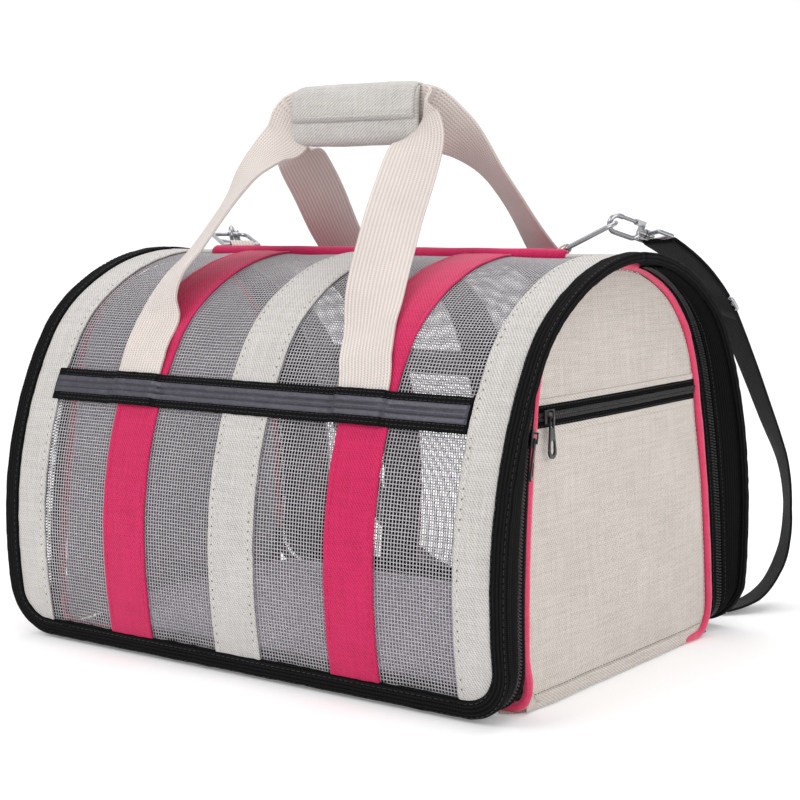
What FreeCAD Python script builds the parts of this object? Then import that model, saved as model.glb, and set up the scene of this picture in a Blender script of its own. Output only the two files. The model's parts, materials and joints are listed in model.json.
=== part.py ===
import FreeCAD, Part
import math
import os

# Soft-sided pet carrier.  X runs along the ridge (pocket end is +X), the door panel faces -Y,
# Z is up and the bag stands on z = 0 with the origin under its middle.  Millimetres.

V = FreeCAD.Vector
Placement = FreeCAD.Placement
Rotation = FreeCAD.Rotation

doc = FreeCAD.newDocument("pet_carrier")
sh = doc.addObject("Spreadsheet::Sheet", "Dims")
CELLS = [
    ("bag_length", 420.0), ("half_depth", 162.0), ("bulge_height", 80.0),
    ("arc_low_rad", 346.0), ("arc_side_rad", 252.0), ("arc_shoulder_rad", 98.55), ("arc_top_rad", 170.26),
    ("arc_side_deg", 31.248), ("arc_shoulder_deg", 53.869), ("panel_foot", 6.0),
    ("binding_width", 12.0), ("binding_thick", 6.5), ("binding_corner", 34.0),
    ("skin_off", 3.5), ("net_thick", 0.8), ("strip_thick", 1.4), ("strip_width", 38.0), ("strip_pitch", 95.0),
    ("edge_strip_in", 172.0), ("band_low", 168.5), ("band_top", 191.5), ("band_half", 178.0),
    ("stripe_low", 174.0), ("stripe_top", 186.0), ("stripe_thick", 0.4),
    ("hinge_height", 268.5), ("ridge_rad", 5.0), ("ridge_half", 153.0), ("seam_rad", 3.4), ("seam_half", 185.0), ("ridge_gap", 6.6),
    ("end_foot_x", 197.8), ("end_tilt_deg", 1.82), ("end_thick", 1.6), ("piping_rad", 3.2),
    ("board_length", 372.0), ("board_depth", 226.0), ("board_thick", 3.4),
    ("mat_thick", 10.0), ("mat_corner", 34.0), ("floor_thick", 1.6), ("floor_half_x", 196.0), ("floor_half_y", 128.4),
    ("pocket_low", 169.0), ("pocket_top", 183.0), ("pocket_half", 101.0),
    ("web_thick", 1.8), ("web_width", 38.0), ("grip_length", 108.0), ("grip_mid_x", -14.5), ("grip_mid_z", 364.5),
    ("grip_tall", 42.0), ("grip_deep", 22.0), ("grip_slot_tall", 39.4), ("grip_slot_deep", 5.6),
    ("ring_wire_rad", 1.5), ("hook_wire_rad", 1.7), ("strap_rad", 3.8),
]
for i, (name, value) in enumerate(CELLS, 1):
    sh.set("A%d" % i, name)
    sh.set("B%d" % i, "%g" % value)
    sh.setAlias("B%d" % i, name)
doc.recompute()


def D(name):
    return float(getattr(sh, name))


# ---------------------------------------------------------------- outline of the long panels
HD, ZB = D("half_depth"), D("bulge_height")
A2, A3 = math.radians(D("arc_side_deg")), math.radians(D("arc_shoulder_deg"))
RL, RS, RH, RT = D("arc_low_rad"), D("arc_side_rad"), D("arc_shoulder_rad"), D("arc_top_rad")
C1 = (HD - RL, ZB)
C2 = (HD - RS, ZB)
C3 = (C2[0] + (RS - RH) * math.cos(A2), C2[1] + (RS - RH) * math.sin(A2))
C4 = (C3[0] + (RH - RT) * math.cos(A3), C3[1] + (RH - RT) * math.sin(A3))
PROFILE = [(C1, RL, -0.6, 0.0), (C2, RS, 0.0, A2), (C3, RH, A2, A3), (C4, RT, A3, 1.75)]

EC1, EC2, EC3 = (-675.73, 22.44), (17.14, 170.41), (-0.05, 144.54)
ARCH = [(EC1, 796.74, -0.08, 0.2104), (EC2, 88.24, 0.2104, 0.98447), (EC3, 119.31, 0.98447, 1.75)]


def on(chain, phi, off=0.0):
    """point (y, z) of a chain of tangent arcs at normal angle phi, moved out by off"""
    for c, r, a, b in chain:
        if phi <= b or (c, r, a, b) == chain[-1]:
            return c[0] + (r + off) * math.cos(phi), c[1] + (r + off) * math.sin(phi)


def phi_z(chain, z, off=0.0):
    lo, hi = chain[0][2], 1.5
    for _ in range(60):
        mid = (lo + hi) / 2
        if on(chain, mid, off)[1] < z:
            lo = mid
        else:
            hi = mid
    return lo


def phi_y(chain, y, off=0.0):
    lo, hi = 0.3, chain[-1][3]
    for _ in range(60):
        mid = (lo + hi) / 2
        if on(chain, mid, off)[0] > y:
            lo = mid
        else:
            hi = mid
    return lo


def arc_run(chain, fa, fb, off, s, rev=False):
    cuts = [fa] + [c[3] for c in chain if fa + 1e-6 < c[3] < fb - 1e-6] + [fb]
    out = []
    for a, b in zip(cuts, cuts[1:]):
        p = [on(chain, f, off) for f in (a, (a + b) / 2, b)]
        if rev:
            p = p[::-1]
        out.append(Part.Arc(*[V(s * y, z, 0) for y, z in p]))
    return out[::-1] if rev else out


# ---------------------------------------------------------------- PartDesign helpers
NODES = []


def add(obj, label):
    obj.Label = label
    NODES.append((label, obj))
    return obj


def new_body(label):
    return add(doc.addObject("PartDesign::Body", label), label)


def new_sketch(b, role, off_expr=None, off_axis="z"):
    plane = [f for f in b.Origin.OriginFeatures if f.Role == role][0]
    sk = b.newObject("Sketcher::SketchObject", b.Name + "_sk")
    sk.AttachmentSupport = [(plane, "")]
    sk.MapMode = "FlatFace"
    if off_expr:
        sk.setExpression("AttachmentOffset.Base." + off_axis, off_expr)
    return sk


def geo(sk, items):
    for g in items:
        sk.addGeometry(g, False)


def poly(points):
    pts = [V(x, y, 0) for x, y in points]
    return [Part.LineSegment(a, b) for a, b in zip(pts, pts[1:] + pts[:1])]


def rounded(x0, y0, x1, y1, r):
    k = r * (1 - math.sqrt(0.5))
    L, A = Part.LineSegment, Part.Arc
    return [
        L(V(x0 + r, y0, 0), V(x1 - r, y0, 0)), A(V(x1 - r, y0, 0), V(x1 - k, y0 + k, 0), V(x1, y0 + r, 0)),
        L(V(x1, y0 + r, 0), V(x1, y1 - r, 0)), A(V(x1, y1 - r, 0), V(x1 - k, y1 - k, 0), V(x1 - r, y1, 0)),
        L(V(x1 - r, y1, 0), V(x0 + r, y1, 0)), A(V(x0 + r, y1, 0), V(x0 + k, y1 - k, 0), V(x0, y1 - r, 0)),
        L(V(x0, y1 - r, 0), V(x0, y0 + r, 0)), A(V(x0, y0 + r, 0), V(x0 + k, y0 + k, 0), V(x0 + r, y0, 0)),
    ]


def pad(b, sk, expr, back=False):
    p = b.newObject("PartDesign::Pad", b.Name + "_pad")
    p.Profile = sk
    p.setExpression("Length", expr)
    p.Reversed = back
    doc.recompute()
    return p


def pocket(b, items, length, flip):
    """cut through the XZ plane; flip False cuts towards +Y, True towards -Y"""
    before = b.Shape.Volume
    sk = new_sketch(b, "XZ_Plane")
    geo(sk, items)
    c = b.newObject("PartDesign::Pocket", b.Name + "_cut")
    c.Profile = sk
    c.Length = length
    c.Reversed = flip
    doc.recompute()
    if not before - b.Shape.Volume > 1.0:
        raise RuntimeError("empty pocket in " + b.Label)
    return c


def skin(b, s, fa, fb, lo, hi, x_expr, len_expr):
    """a thin sheet that follows the long panel's outline between two offsets"""
    sk = new_sketch(b, "YZ_Plane", x_expr)
    outer = arc_run(PROFILE, fa, fb, hi, s)
    inner = arc_run(PROFILE, fa, fb, lo, s, True)
    P = lambda f, o: V(s * on(PROFILE, f, o)[0], on(PROFILE, f, o)[1], 0)
    geo(sk, outer + [Part.LineSegment(P(fb, hi), P(fb, lo))] + inner + [Part.LineSegment(P(fa, lo), P(fa, hi))])
    return pad(b, sk, len_expr)


SK, NT, ST = D("skin_off"), D("net_thick"), D("strip_thick")
BT, BW, HL = D("binding_thick"), D("binding_width"), D("bag_length") / 2
BZ = 1.6                                    # underside of the panel bindings
WIN = BZ + BW                               # lower edge of the window inside the binding
RC = D("binding_corner") - BW               # inner corner radius
NET_OUT = -SK                               # outer face of the net
STRIP_OUT = NET_OUT + ST
BAND_OUT = STRIP_OUT + ST
GAP = D("ridge_gap")


def corner(sx):
    """area outside the window's rounded lower corner on one side (x, z)"""
    xi = HL - BW
    cx, cz = xi - RC, WIN + RC
    q = RC * math.sqrt(0.5)
    X = lambda x: sx * x
    return [
        Part.Arc(V(X(xi), cz, 0), V(X(cx + q), cz - q, 0), V(X(cx), WIN, 0)),
        Part.LineSegment(V(X(cx), WIN, 0), V(X(cx), WIN - 20, 0)),
        Part.LineSegment(V(X(cx), WIN - 20, 0), V(X(xi + 20), WIN - 20, 0)),
        Part.LineSegment(V(X(xi + 20), WIN - 20, 0), V(X(xi + 20), cz, 0)),
        Part.LineSegment(V(X(xi + 20), cz, 0), V(X(xi), cz, 0)),
    ]


def panel(side, s):
    """net, strips, band, stripe and binding of one long side; s = -1 front, +1 rear"""
    flip = s < 0
    top = lambda off: phi_y(PROFILE, GAP, off)
    net = new_body(side + "_net")
    skin(net, s, phi_z(PROFILE, WIN, NET_OUT), top(NET_OUT), NET_OUT - NT, NET_OUT,
         "-(Dims.bag_length / 2 - Dims.binding_width)", "Dims.bag_length - 2 * Dims.binding_width")
    for sx in (1, -1):
        pocket(net, corner(sx), 240, flip)
    strips = [("centre_cream_strip", "-Dims.strip_width / 2", "Dims.strip_width"),
              ("right_pink_strip", "Dims.strip_pitch - Dims.strip_width / 2", "Dims.strip_width"),
              ("left_pink_strip", "-Dims.strip_pitch - Dims.strip_width / 2", "Dims.strip_width"),
              ("right_cream_strip", "Dims.edge_strip_in", "Dims.bag_length / 2 - Dims.binding_width - Dims.edge_strip_in"),
              ("left_cream_strip", "-(Dims.bag_length / 2 - Dims.binding_width)",
               "Dims.bag_length / 2 - Dims.binding_width - Dims.edge_strip_in")]
    for name, x_expr, len_expr in strips:
        b = new_body(side + "_" + name)
        skin(b, s, phi_z(PROFILE, WIN, STRIP_OUT), top(STRIP_OUT), NET_OUT, STRIP_OUT, x_expr, len_expr)
        if "cream" in name and "centre" not in name:
            pocket(b, corner(1 if "right" in name else -1), 240, flip)
    band = new_body(side + "_band")
    skin(band, s, phi_z(PROFILE, D("band_low"), BAND_OUT), phi_z(PROFILE, D("band_top"), BAND_OUT), STRIP_OUT, BAND_OUT,
         "-Dims.band_half", "2 * Dims.band_half")
    stripe = new_body(side + "_reflective_stripe")
    skin(stripe, s, phi_z(PROFILE, D("stripe_low"), BAND_OUT), phi_z(PROFILE, D("stripe_top"), BAND_OUT),
         BAND_OUT, BAND_OUT + D("stripe_thick"), "-Dims.band_half", "2 * Dims.band_half")
    bind = new_body(side + "_binding")
    end = phi_y(PROFILE, 4.5 if s < 0 else 0.5)
    skin(bind, s, phi_z(PROFILE, BZ), end, -BT, 0.0, "-Dims.bag_length / 2", "Dims.bag_length")
    xi = HL - BW
    q = RC * math.sqrt(0.5)
    cx, cz = xi - RC, WIN + RC
    L, A = Part.LineSegment, Part.Arc
    pocket(bind, [L(V(-cx, WIN, 0), V(cx, WIN, 0)), A(V(cx, WIN, 0), V(cx + q, cz - q, 0), V(xi, cz, 0)),
                  L(V(xi, cz, 0), V(xi, 300, 0)), L(V(xi, 300, 0), V(-xi, 300, 0)), L(V(-xi, 300, 0), V(-xi, cz, 0)),
                  A(V(-xi, cz, 0), V(-cx - q, cz - q, 0), V(-cx, WIN, 0))], 240, flip)
    ro = D("binding_corner")
    for sx in (1, -1):
        ox, oz = HL - ro, BZ + ro
        w = ro * math.sqrt(0.5)
        pocket(bind, [A(V(sx * HL, oz, 0), V(sx * (ox + w), oz - w, 0), V(sx * ox, BZ, 0)),
                      L(V(sx * ox, BZ, 0), V(sx * ox, BZ - 20, 0)), L(V(sx * ox, BZ - 20, 0), V(sx * (HL + 20), BZ - 20, 0)),
                      L(V(sx * (HL + 20), BZ - 20, 0), V(sx * (HL + 20), oz, 0)), L(V(sx * (HL + 20), oz, 0), V(sx * HL, oz, 0))],
               240, flip)
    wire = new_body(side + "_frame_wires")
    f0, f1 = phi_z(PROFILE, 34.0, -BT), phi_z(PROFILE, 222.0, -BT)
    skin(wire, s, f0, f1, -BT - 3.2, -BT - 0.2, "Dims.bag_length / 2 - Dims.binding_width + 0.6", "3")
    m = wire.newObject("PartDesign::Mirrored", wire.Name + "_mirror")
    m.Originals = [wire.Tip]
    m.MirrorPlane = ([f for f in wire.Origin.OriginFeatures if f.Role == "YZ_Plane"][0], [""])
    wire.Tip = m
    doc.recompute()


panel("front", -1)
panel("rear", 1)

# ---------------------------------------------------------------- ridge
rt = doc.addObject("Part::Cylinder", "ridge_roll")
rt.setExpression("Radius", "Dims.ridge_rad")
rt.setExpression("Height", "2 * Dims.ridge_half")
rt.Placement = Placement(V(-D("ridge_half"), 0, D("hinge_height")), Rotation(V(0, 1, 0), 90))
re_ = doc.addObject("Part::Cylinder", "ridge_seam")
re_.setExpression("Radius", "Dims.seam_rad")
re_.setExpression("Height", "2 * Dims.seam_half")
re_.Placement = Placement(V(-D("seam_half"), 0, D("hinge_height")), Rotation(V(0, 1, 0), 90))
ridge = add(doc.addObject("Part::MultiFuse", "ridge_tape"), "ridge_tape")
ridge.Shapes = [rt, re_]
doc.recompute()

# ---------------------------------------------------------------- floor
fl = new_body("bottom_panel")
sk = new_sketch(fl, "XY_Plane")
geo(sk, rounded(-D("floor_half_x"), -D("floor_half_y"), D("floor_half_x"), D("floor_half_y"), 14))
pad(fl, sk, "Dims.floor_thick")
bd = new_body("base_board")
sk = new_sketch(bd, "XY_Plane", "Dims.floor_thick")
geo(sk, rounded(-D("board_length") / 2, -D("board_depth") / 2, D("board_length") / 2, D("board_depth") / 2, 20))
pad(bd, sk, "Dims.board_thick")
mt = new_body("floor_mat")
sk = new_sketch(mt, "XY_Plane", "Dims.floor_thick + Dims.board_thick")
geo(sk, rounded(-D("board_length") / 2 + 1, -D("board_depth") / 2 + 1, D("board_length") / 2 - 1, D("board_depth") / 2 - 1, D("mat_corner")))
pad(mt, sk, "Dims.mat_thick")

# ---------------------------------------------------------------- end panels and their pocket
TILT = D("end_tilt_deg")
END = {1: Placement(V(D("end_foot_x"), 0, 10), Rotation(V(0, 1, 0), -TILT)),
       -1: Placement(V(-D("end_foot_x"), 0, 10), Rotation(V(0, 1, 0), TILT))}


def end_x(z, sx=1):
    return sx * (D("end_foot_x") - (z - 10) * math.tan(math.radians(TILT)))


ARCH_OFF = -3.6


def arch_face(sk, off, foot):
    """arched outline with rounded lower corners; sketch origin is at z = 10"""
    top = phi_y(ARCH, 0.0, off)
    f0 = phi_z(ARCH, foot + 14, off)
    P = lambda f, s: V(s * on(ARCH, f, off)[0], on(ARCH, f, off)[1] - 10, 0)
    shift = lambda arcs: arcs
    right = [Part.Arc(*[V(p.x, p.y - 10, 0) for p in (g.StartPoint, g.value((g.FirstParameter + g.LastParameter) / 2), g.EndPoint)])
             for g in arc_run(ARCH, f0, top, off, 1)]
    left = [Part.Arc(*[V(-p.x, p.y, 0) for p in (g.EndPoint, g.value((g.FirstParameter + g.LastParameter) / 2), g.StartPoint)])
            for g in right[::-1]]
    a = P(f0, 1)
    y0 = foot - 10
    r = a.y - y0
    k = r * (1 - math.sqrt(0.5))
    base = [Part.Arc(V(-a.x, a.y, 0), V(-a.x + k, y0 + k, 0), V(-a.x + r, y0, 0)),
            Part.LineSegment(V(-a.x + r, y0, 0), V(a.x - r, y0, 0)),
            Part.Arc(V(a.x - r, y0, 0), V(a.x - k, y0 + k, 0), V(a.x, a.y, 0))]
    fix = []
    for g in right + left:
        fix.append(g)
    geo(sk, fix + base)


for side, sx in (("right", 1), ("left", -1)):
    e = new_body(side + "_end_panel")
    sk = new_sketch(e, "YZ_Plane")
    arch_face(sk, ARCH_OFF, D("floor_thick") + 0.3)
    pad(e, sk, "Dims.end_thick", back=sx > 0)
    e.Placement = END[sx]

pz = new_body("pocket_zip_tape")
sk = new_sketch(pz, "YZ_Plane", "0.1")
geo(sk, poly([(-D("pocket_half"), D("pocket_low") - 10), (D("pocket_half"), D("pocket_low") - 10),
              (D("pocket_half"), D("pocket_top") - 10), (-D("pocket_half"), D("pocket_top") - 10)]))
pad(pz, sk, "1")
pz.Placement = END[1]
pc = new_body("pocket_zip_chain")
sk = new_sketch(pc, "YZ_Plane", "1.1")
ZM = (D("pocket_low") + D("pocket_top")) / 2 - 10
geo(sk, poly([(-D("pocket_half") + 2, ZM - 2.4), (D("pocket_half") - 2, ZM - 2.4), (D("pocket_half") - 2, ZM + 2.4),
              (-D("pocket_half") + 2, ZM + 2.4)]))
pad(pc, sk, "1.4")
pc.Placement = END[1]
lin = new_body("pocket_lining")
sk = new_sketch(lin, "YZ_Plane", "-Dims.end_thick - 0.4")
arch = []
geo(sk, rounded(-96, 14 - 10, 96, 186 - 10, 12))
pad(lin, sk, "0.8", back=True)
lin.Placement = END[1]

# ---------------------------------------------------------------- stations of the gussets
def end_path():
    """piping centre line of the right end, front half, from the apex down and under the corner to mid length"""
    pts = []
    for f in (88.5, 80, 72, 64, 56, 48, 40, 32, 25, 18.5, 12.5, 9.0, 6.5, 4.2, 2.2):
        y, z = on(ARCH, math.radians(f))
        pts.append((end_x(z) + 0.6, y, z))
    y, z = on(ARCH, math.radians(0.9))
    pts.append((end_x(z) + 0.6, y, z))
    pts += [(197.4, 121.3, 22.0), (195.2, 122.8, 13.4), (190.4, 125.2, 7.2), (183.0, 128.2, 4.2), (172.0, 130.8, 3.5),
            (150.0, 132.2, 3.4), (100.0, 132.4, 3.4), (50.0, 132.4, 3.4), (0.0, 132.4, 3.4)]
    return [V(*p) for p in pts]


def bind_path(off=-7.0, x_in=4.5):
    """line along the inside of the panel binding that faces the end, matched to end_path"""
    xs = HL - x_in
    pts = []
    for f in (87.4, 78, 70, 62, 54, 46.5, 39.5, 34.0):
        y, z = on(PROFILE, math.radians(f), off)
        pts.append((xs, y, z))
    for z in (199.0, 188.0, 176.0, 141.0, 109.0, 79.0, 54.0):
        pts.append((xs, on(PROFILE, phi_z(PROFILE, z, off), off)[0], z))
    r = D("binding_corner") - x_in
    ox, oz = HL - D("binding_corner"), BZ + D("binding_corner")
    for a in (-4, -22, -40, -58, -76, -88):
        z = oz + r * math.sin(math.radians(a))
        x = ox + r * math.cos(math.radians(a))
        y = on(PROFILE, phi_z(PROFILE, z, off), off)[0]
        pts.append((x, y, z))
    y = on(PROFILE, phi_z(PROFILE, BZ + x_in, off), off)[0]
    pts += [(x, y, BZ + x_in) for x in (148.0, 100.0, 50.0, 0.0)]
    return [V(*p) for p in pts]


P0, Q0 = end_path(), bind_path()
assert len(P0) == len(Q0), (len(P0), len(Q0))
FRAC = [0.5, 0.46, 0.42, 0.38, 0.36, 0.34, 0.33, 0.32, 0.32, 0.32, 0.32, 0.32, 0.32, 0.33, 0.34, 0.36, 0.40, 0.45, 0.5, 0.52,
        0.52, 0.52, 0.52, 0.52, 0.52]


def flip_pt(p, s, sx):
    return V(p.x * sx, p.y * s, p.z)


def quad_solid(secs):
    """solid through a row of four-cornered sections"""
    wires = []
    for q in secs:
        wires.append(Part.makePolygon(list(q) + [q[0]]))
    shp = Part.makeLoft(wires, True, True)
    if not shp.isValid():
        shp.fix(0.01, 0.01, 0.01)
    if shp.Volume < 0:
        shp.reverse()
    return shp


def gusset_sections(s, fa, fb, da, db, lo, hi, i0=0, sx=1):
    """strip between fractions fa and fb of the way from piping to binding (plus fixed margins da, db), lo..hi along the normal"""
    secs = []
    n = len(P0)
    for i in range(i0, n):
        p, q = flip_pt(P0[i], s, sx), flip_pt(Q0[i], s, sx)
        w = q - p
        L = w.Length
        w = w / L
        j0, j1 = max(i - 1, 0), min(i + 1, n - 1)
        t = (flip_pt(P0[j1] + Q0[j1], s, sx) - flip_pt(P0[j0] + Q0[j0], s, sx))
        if i == n - 1:
            t = V(-sx, 0, 0)
        nrm = w.cross(t)
        nrm.normalize()
        out = V(sx, 0, 0) * 0.7 + V(0, 0, -1) * 0.5 + V(0, s * 0.2, 0) if i > 13 else V(sx, 0, 0)
        if nrm.dot(out) < 0:
            nrm = nrm * -1
        A = FA(fa, i)
        B = FA(fb, i)
        a = p + w * (A * L + da)
        b = p + w * (B * L + db)
        secs.append((a + nrm * lo, b + nrm * lo, b + nrm * hi, a + nrm * hi))
    return secs


def FA(f, i):
    return FRAC[i] if f == "c" else f


for i in range(len(P0)):                    # the coil keeps room for its tape on both sides
    FRAC[i] = min(max(FRAC[i], 7.4 / (Q0[i] - P0[i]).Length), 1 - 3.6 / (Q0[i] - P0[i]).Length)


def whole(s, *args, i0=0):
    """right half, then the left half in reverse, as one row"""
    r = gusset_sections(s, *args, i0=i0, sx=1)
    l = gusset_sections(s, *args, i0=i0, sx=-1)
    return r + [tuple(x) for x in l[::-1]][1:]


def feature(label, shape, place=None):
    f = doc.addObject("Part::Feature", label)
    f.Shape = shape
    if place:
        f.Placement = place
    return add(f, label)


CH = 2.7                                    # half width of the closed coil
for side, s in (("front", -1), ("rear", 1)):
    feature(side + "_gusset", quad_solid(whole(s, 0.0, "c", 4.0, -CH - 0.2, -0.5, 0.5, i0=1)))
    feature(side + "_zip_coil_body_half", quad_solid(whole(s, "c", "c", -CH, -0.25, -0.9, 1.1, i0=1)))
    feature(side + "_zip_coil_panel_half", quad_solid(whole(s, "c", "c", 0.25, CH, -0.9, 1.1, i0=2 if s < 0 else 1)))
    feature(side + "_panel_gusset", quad_solid(whole(s, "c", 1.0, CH + 0.2, -0.2, -0.5, 0.5, i0=2 if s < 0 else 1)))


# ---------------------------------------------------------------- piping: a round cord through both half paths
def tube_through(points, rad, closed=False):
    bs = Part.BSplineCurve()
    bs.interpolate(points, PeriodicFlag=closed)
    w = Part.Wire([bs.toShape()])
    t = bs.tangent(bs.FirstParameter)[0]
    prof = Part.Wire([Part.makeCircle(rad, bs.value(bs.FirstParameter), t)])
    shp = w.makePipeShell([prof], True, True)
    return shp


for side, sx in (("right", 1), ("left", -1)):
    last = 19                               # the piping tucks in under the corner
    front = [V(p.x * sx, -p.y, p.z) for p in P0[:last]]
    rear = [V(p.x * sx, p.y, p.z) for p in P0[:last]]
    pts = front[::-1][:-1] + [V(sx * (end_x(263.8) + 0.6), 0, 263.85)] + rear[1:]
    feature(side + "_piping", tube_through(pts, D("piping_rad")))


# ---------------------------------------------------------------- zip sliders
def slider_frame(s, sx, i, t, lift):
    """origin on the coil, local +Z up the zip, local +X out of the gusset"""
    def at(k):
        p, q = flip_pt(P0[k], s, sx), flip_pt(Q0[k], s, sx)
        return p + (q - p) * FRAC[k]
    a, b = at(i), at(i + 1)
    o = a + (b - a) * t
    up = a - b
    up.normalize()
    p, q = flip_pt(P0[i], s, sx), flip_pt(Q0[i], s, sx)
    w = q - p
    w.normalize()
    x = w.cross(up)
    if x.dot(V(sx, 0, 0)) < 0:
        x = x * -1
    x.normalize()
    y = up.cross(x)
    return Placement(o + x * lift, Rotation(x, y, up, "ZXY"))


def at_coil(s, sx, z):
    for i in range(len(P0) - 1):
        za = P0[i].z + (Q0[i].z - P0[i].z) * FRAC[i]
        zb = P0[i + 1].z + (Q0[i + 1].z - P0[i + 1].z) * FRAC[i + 1]
        if zb <= z <= za:
            t = (za - z) / (za - zb)
            p, q = P0[i] + (Q0[i] - P0[i]) * FRAC[i], P0[i + 1] + (Q0[i + 1] - P0[i + 1]) * FRAC[i + 1]
            return flip_pt(p + (q - p) * t, s, sx), i, t


def slider_shape(side_sign, level=False):
    """plate over the coil with a bridge for the puller and a flange on the body's side; coil along Z, or along Y if level"""
    if level:
        top = Part.makeBox(1.0, 11.0, 8.4, V(1.75, -5.5, -4.2))
        wall = Part.makeBox(1.0, 9.0, 0.9, V(0.85, -4.5, -4.2)).fuse(Part.makeBox(1.0, 9.0, 0.9, V(0.85, -4.5, 3.3)))
    else:
        top = Part.makeBox(1.0, 8.4, 11.0, V(1.75, -4.2, -5.5))
        wall = Part.makeBox(1.0, 0.9, 9.0, V(0.85, -4.2 if side_sign > 0 else 3.3, -4.5))
    bridge = Part.makeBox(3.0, 1.2, 1.2, V(2.6, -0.6, 2.6)).fuse([Part.makeBox(1.0, 1.2, 7.0, V(4.6, -0.6, -3.2)),
                                                                  Part.makeBox(3.0, 1.2, 1.2, V(2.6, -0.6, -3.2))])
    return top.fuse([wall, bridge]).removeSplitter()


def puller_shape(length):
    """teardrop tab with an oval hole; hangs along -Z from the crossbar that passes under the bridge"""
    bar = Part.makeCylinder(0.6, 4.8, V(0, -2.4, 0), V(0, 1, 0))
    arms = [Part.makeBox(1.2, 1.1, 6.4, V(-0.6, y, -6.4)) for y in (1.3, -2.4)]
    tab = Part.makeCylinder(4.2, 1.2, V(-0.6, 0, -length + 4.2), V(1, 0, 0))
    web = Part.Face(Part.makePolygon([V(-0.6, -2.4, -6.3), V(-0.6, 2.4, -6.3), V(-0.6, 4.1, -length + 5.2),
                                      V(-0.6, -4.1, -length + 5.2), V(-0.6, -2.4, -6.3)])).extrude(V(1.2, 0, 0))
    hole = Part.makeCylinder(2.2, 4, V(-2, 0, -length + 4.6), V(1, 0, 0)).fuse(
        [Part.makeBox(4, 4.4, 4.5, V(-2, -2.2, -length + 4.6)), Part.makeCylinder(2.2, 4, V(-2, 0, -length + 9.1), V(1, 0, 0))])
    return bar.fuse(arms + [tab, web]).cut(hole).removeSplitter()


JOINTS = {}
from_z = 166.0
o, i, t = at_coil(-1, 1, from_z)
fs = slider_frame(-1, 1, i, t, 0.45)
feature("front_zip_slider", slider_shape(+1 if fs.Rotation.multVec(V(0, 1, 0)).y < 0 else -1), fs)
PB = V(3.65, 0, -0.3)                       # puller bar in the slider's frame
feature("front_zip_puller", puller_shape(25.0), Placement(fs.multVec(PB), fs.Rotation))
JOINTS["front"] = (fs, [at_coil(-1, 1, z)[0] for z in (165.0, 130.0, 95.0)])
o, i, t = at_coil(1, -1, from_z)
rs = slider_frame(1, -1, i, t, 0.45)
feature("rear_zip_slider", slider_shape(+1 if rs.Rotation.multVec(V(0, 1, 0)).y > 0 else -1), rs)
feature("rear_zip_puller", puller_shape(25.0), Placement(rs.multVec(PB), rs.Rotation))
JOINTS["rear"] = (rs, [at_coil(1, -1, z)[0] for z in (165.0, 130.0, 95.0)])
# pocket slider: coil along Y at the front end of the pocket zip
ps = END[1].multiply(Placement(V(1.9, -D("pocket_half") + 8.0, ZM), Rotation()))
feature("pocket_zip_slider", slider_shape(+1, True), ps)
feature("pocket_zip_puller", puller_shape(25.0), Placement(ps.multVec(PB), END[1].Rotation))
JOINTS["pocket"] = (ps, [])

# ---------------------------------------------------------------- handles and grip
HW, WT = D("web_width") / 2, D("web_thick")


def ribbon(stations, thick):
    """flat webbing through stations (centre, half-width vector, thickness direction)"""
    secs = []
    for c, w, n in stations:
        c, w, n = V(*c), V(*w), V(*n)
        w.normalize()
        n = n - w * n.dot(w)
        n.normalize()
        w, n = w * HW, n * (thick / 2)
        secs.append((c - w - n, c + w - n, c + w + n, c - w + n))
    return quad_solid(secs)


def skin_pt(z, s, off):
    y, zz = on(PROFILE, phi_z(PROFILE, z, off), off)
    return s * y, zz


def leg(s, foot_x, top_x, top_y, grip_x):
    """one leg from the band up to the grip's end: (centre, width direction, thickness direction)"""
    o = STRIP_OUT + 0.5 + WT / 2
    st = []
    for z, dx in ((193.6, 0.0), (209.0, 0.13), (226.0, 0.27)):
        y, zz = skin_pt(z, s, o + (0.0 if z < 200 else 0.6))
        f = phi_z(PROFILE, z, o)
        st.append(((foot_x + (top_x - foot_x) * dx, y, zz), (1, 0, 0), (0, s * math.cos(f), math.sin(f))))
    return st


gx0, gx1 = D("grip_mid_x") - D("grip_length") / 2, D("grip_mid_x") + D("grip_length") / 2
GZ = D("grip_mid_z")


def handle(s, right, left):
    yg = s * 1.3
    def side(sx, foot, mids, gx):
        st = leg(s, foot, mids[0][0][0], 0, gx)
        for c, w, n in mids:
            pass
        st += [(c, w, n) for c, w, n in mids]
        st.append(((gx, yg, GZ), (sx * 0.0, 0, 1), (0, s, 0)))
        return st
    R = side(1, right[0], right[1], gx1 + 1.5)
    Lf = side(-1, left[0], left[1], gx0 - 1.5)
    mid = [((gx1 - 6, yg, GZ), (0, 0, 1), (0, s, 0)), ((gx0 + 6, yg, GZ), (0, 0, 1), (0, s, 0))]
    # width vectors turn from +X on the legs to vertical in the grip: keep them continuous
    rows = R + mid + [(c, (-w[0], -w[1], -w[2]) if k < len(Lf) - 1 else w, n) for k, (c, w, n) in reversed(list(enumerate(Lf)))]
    rows = [(c, w, n) for c, w, n in rows]
    return ribbon(rows, WT)


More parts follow.
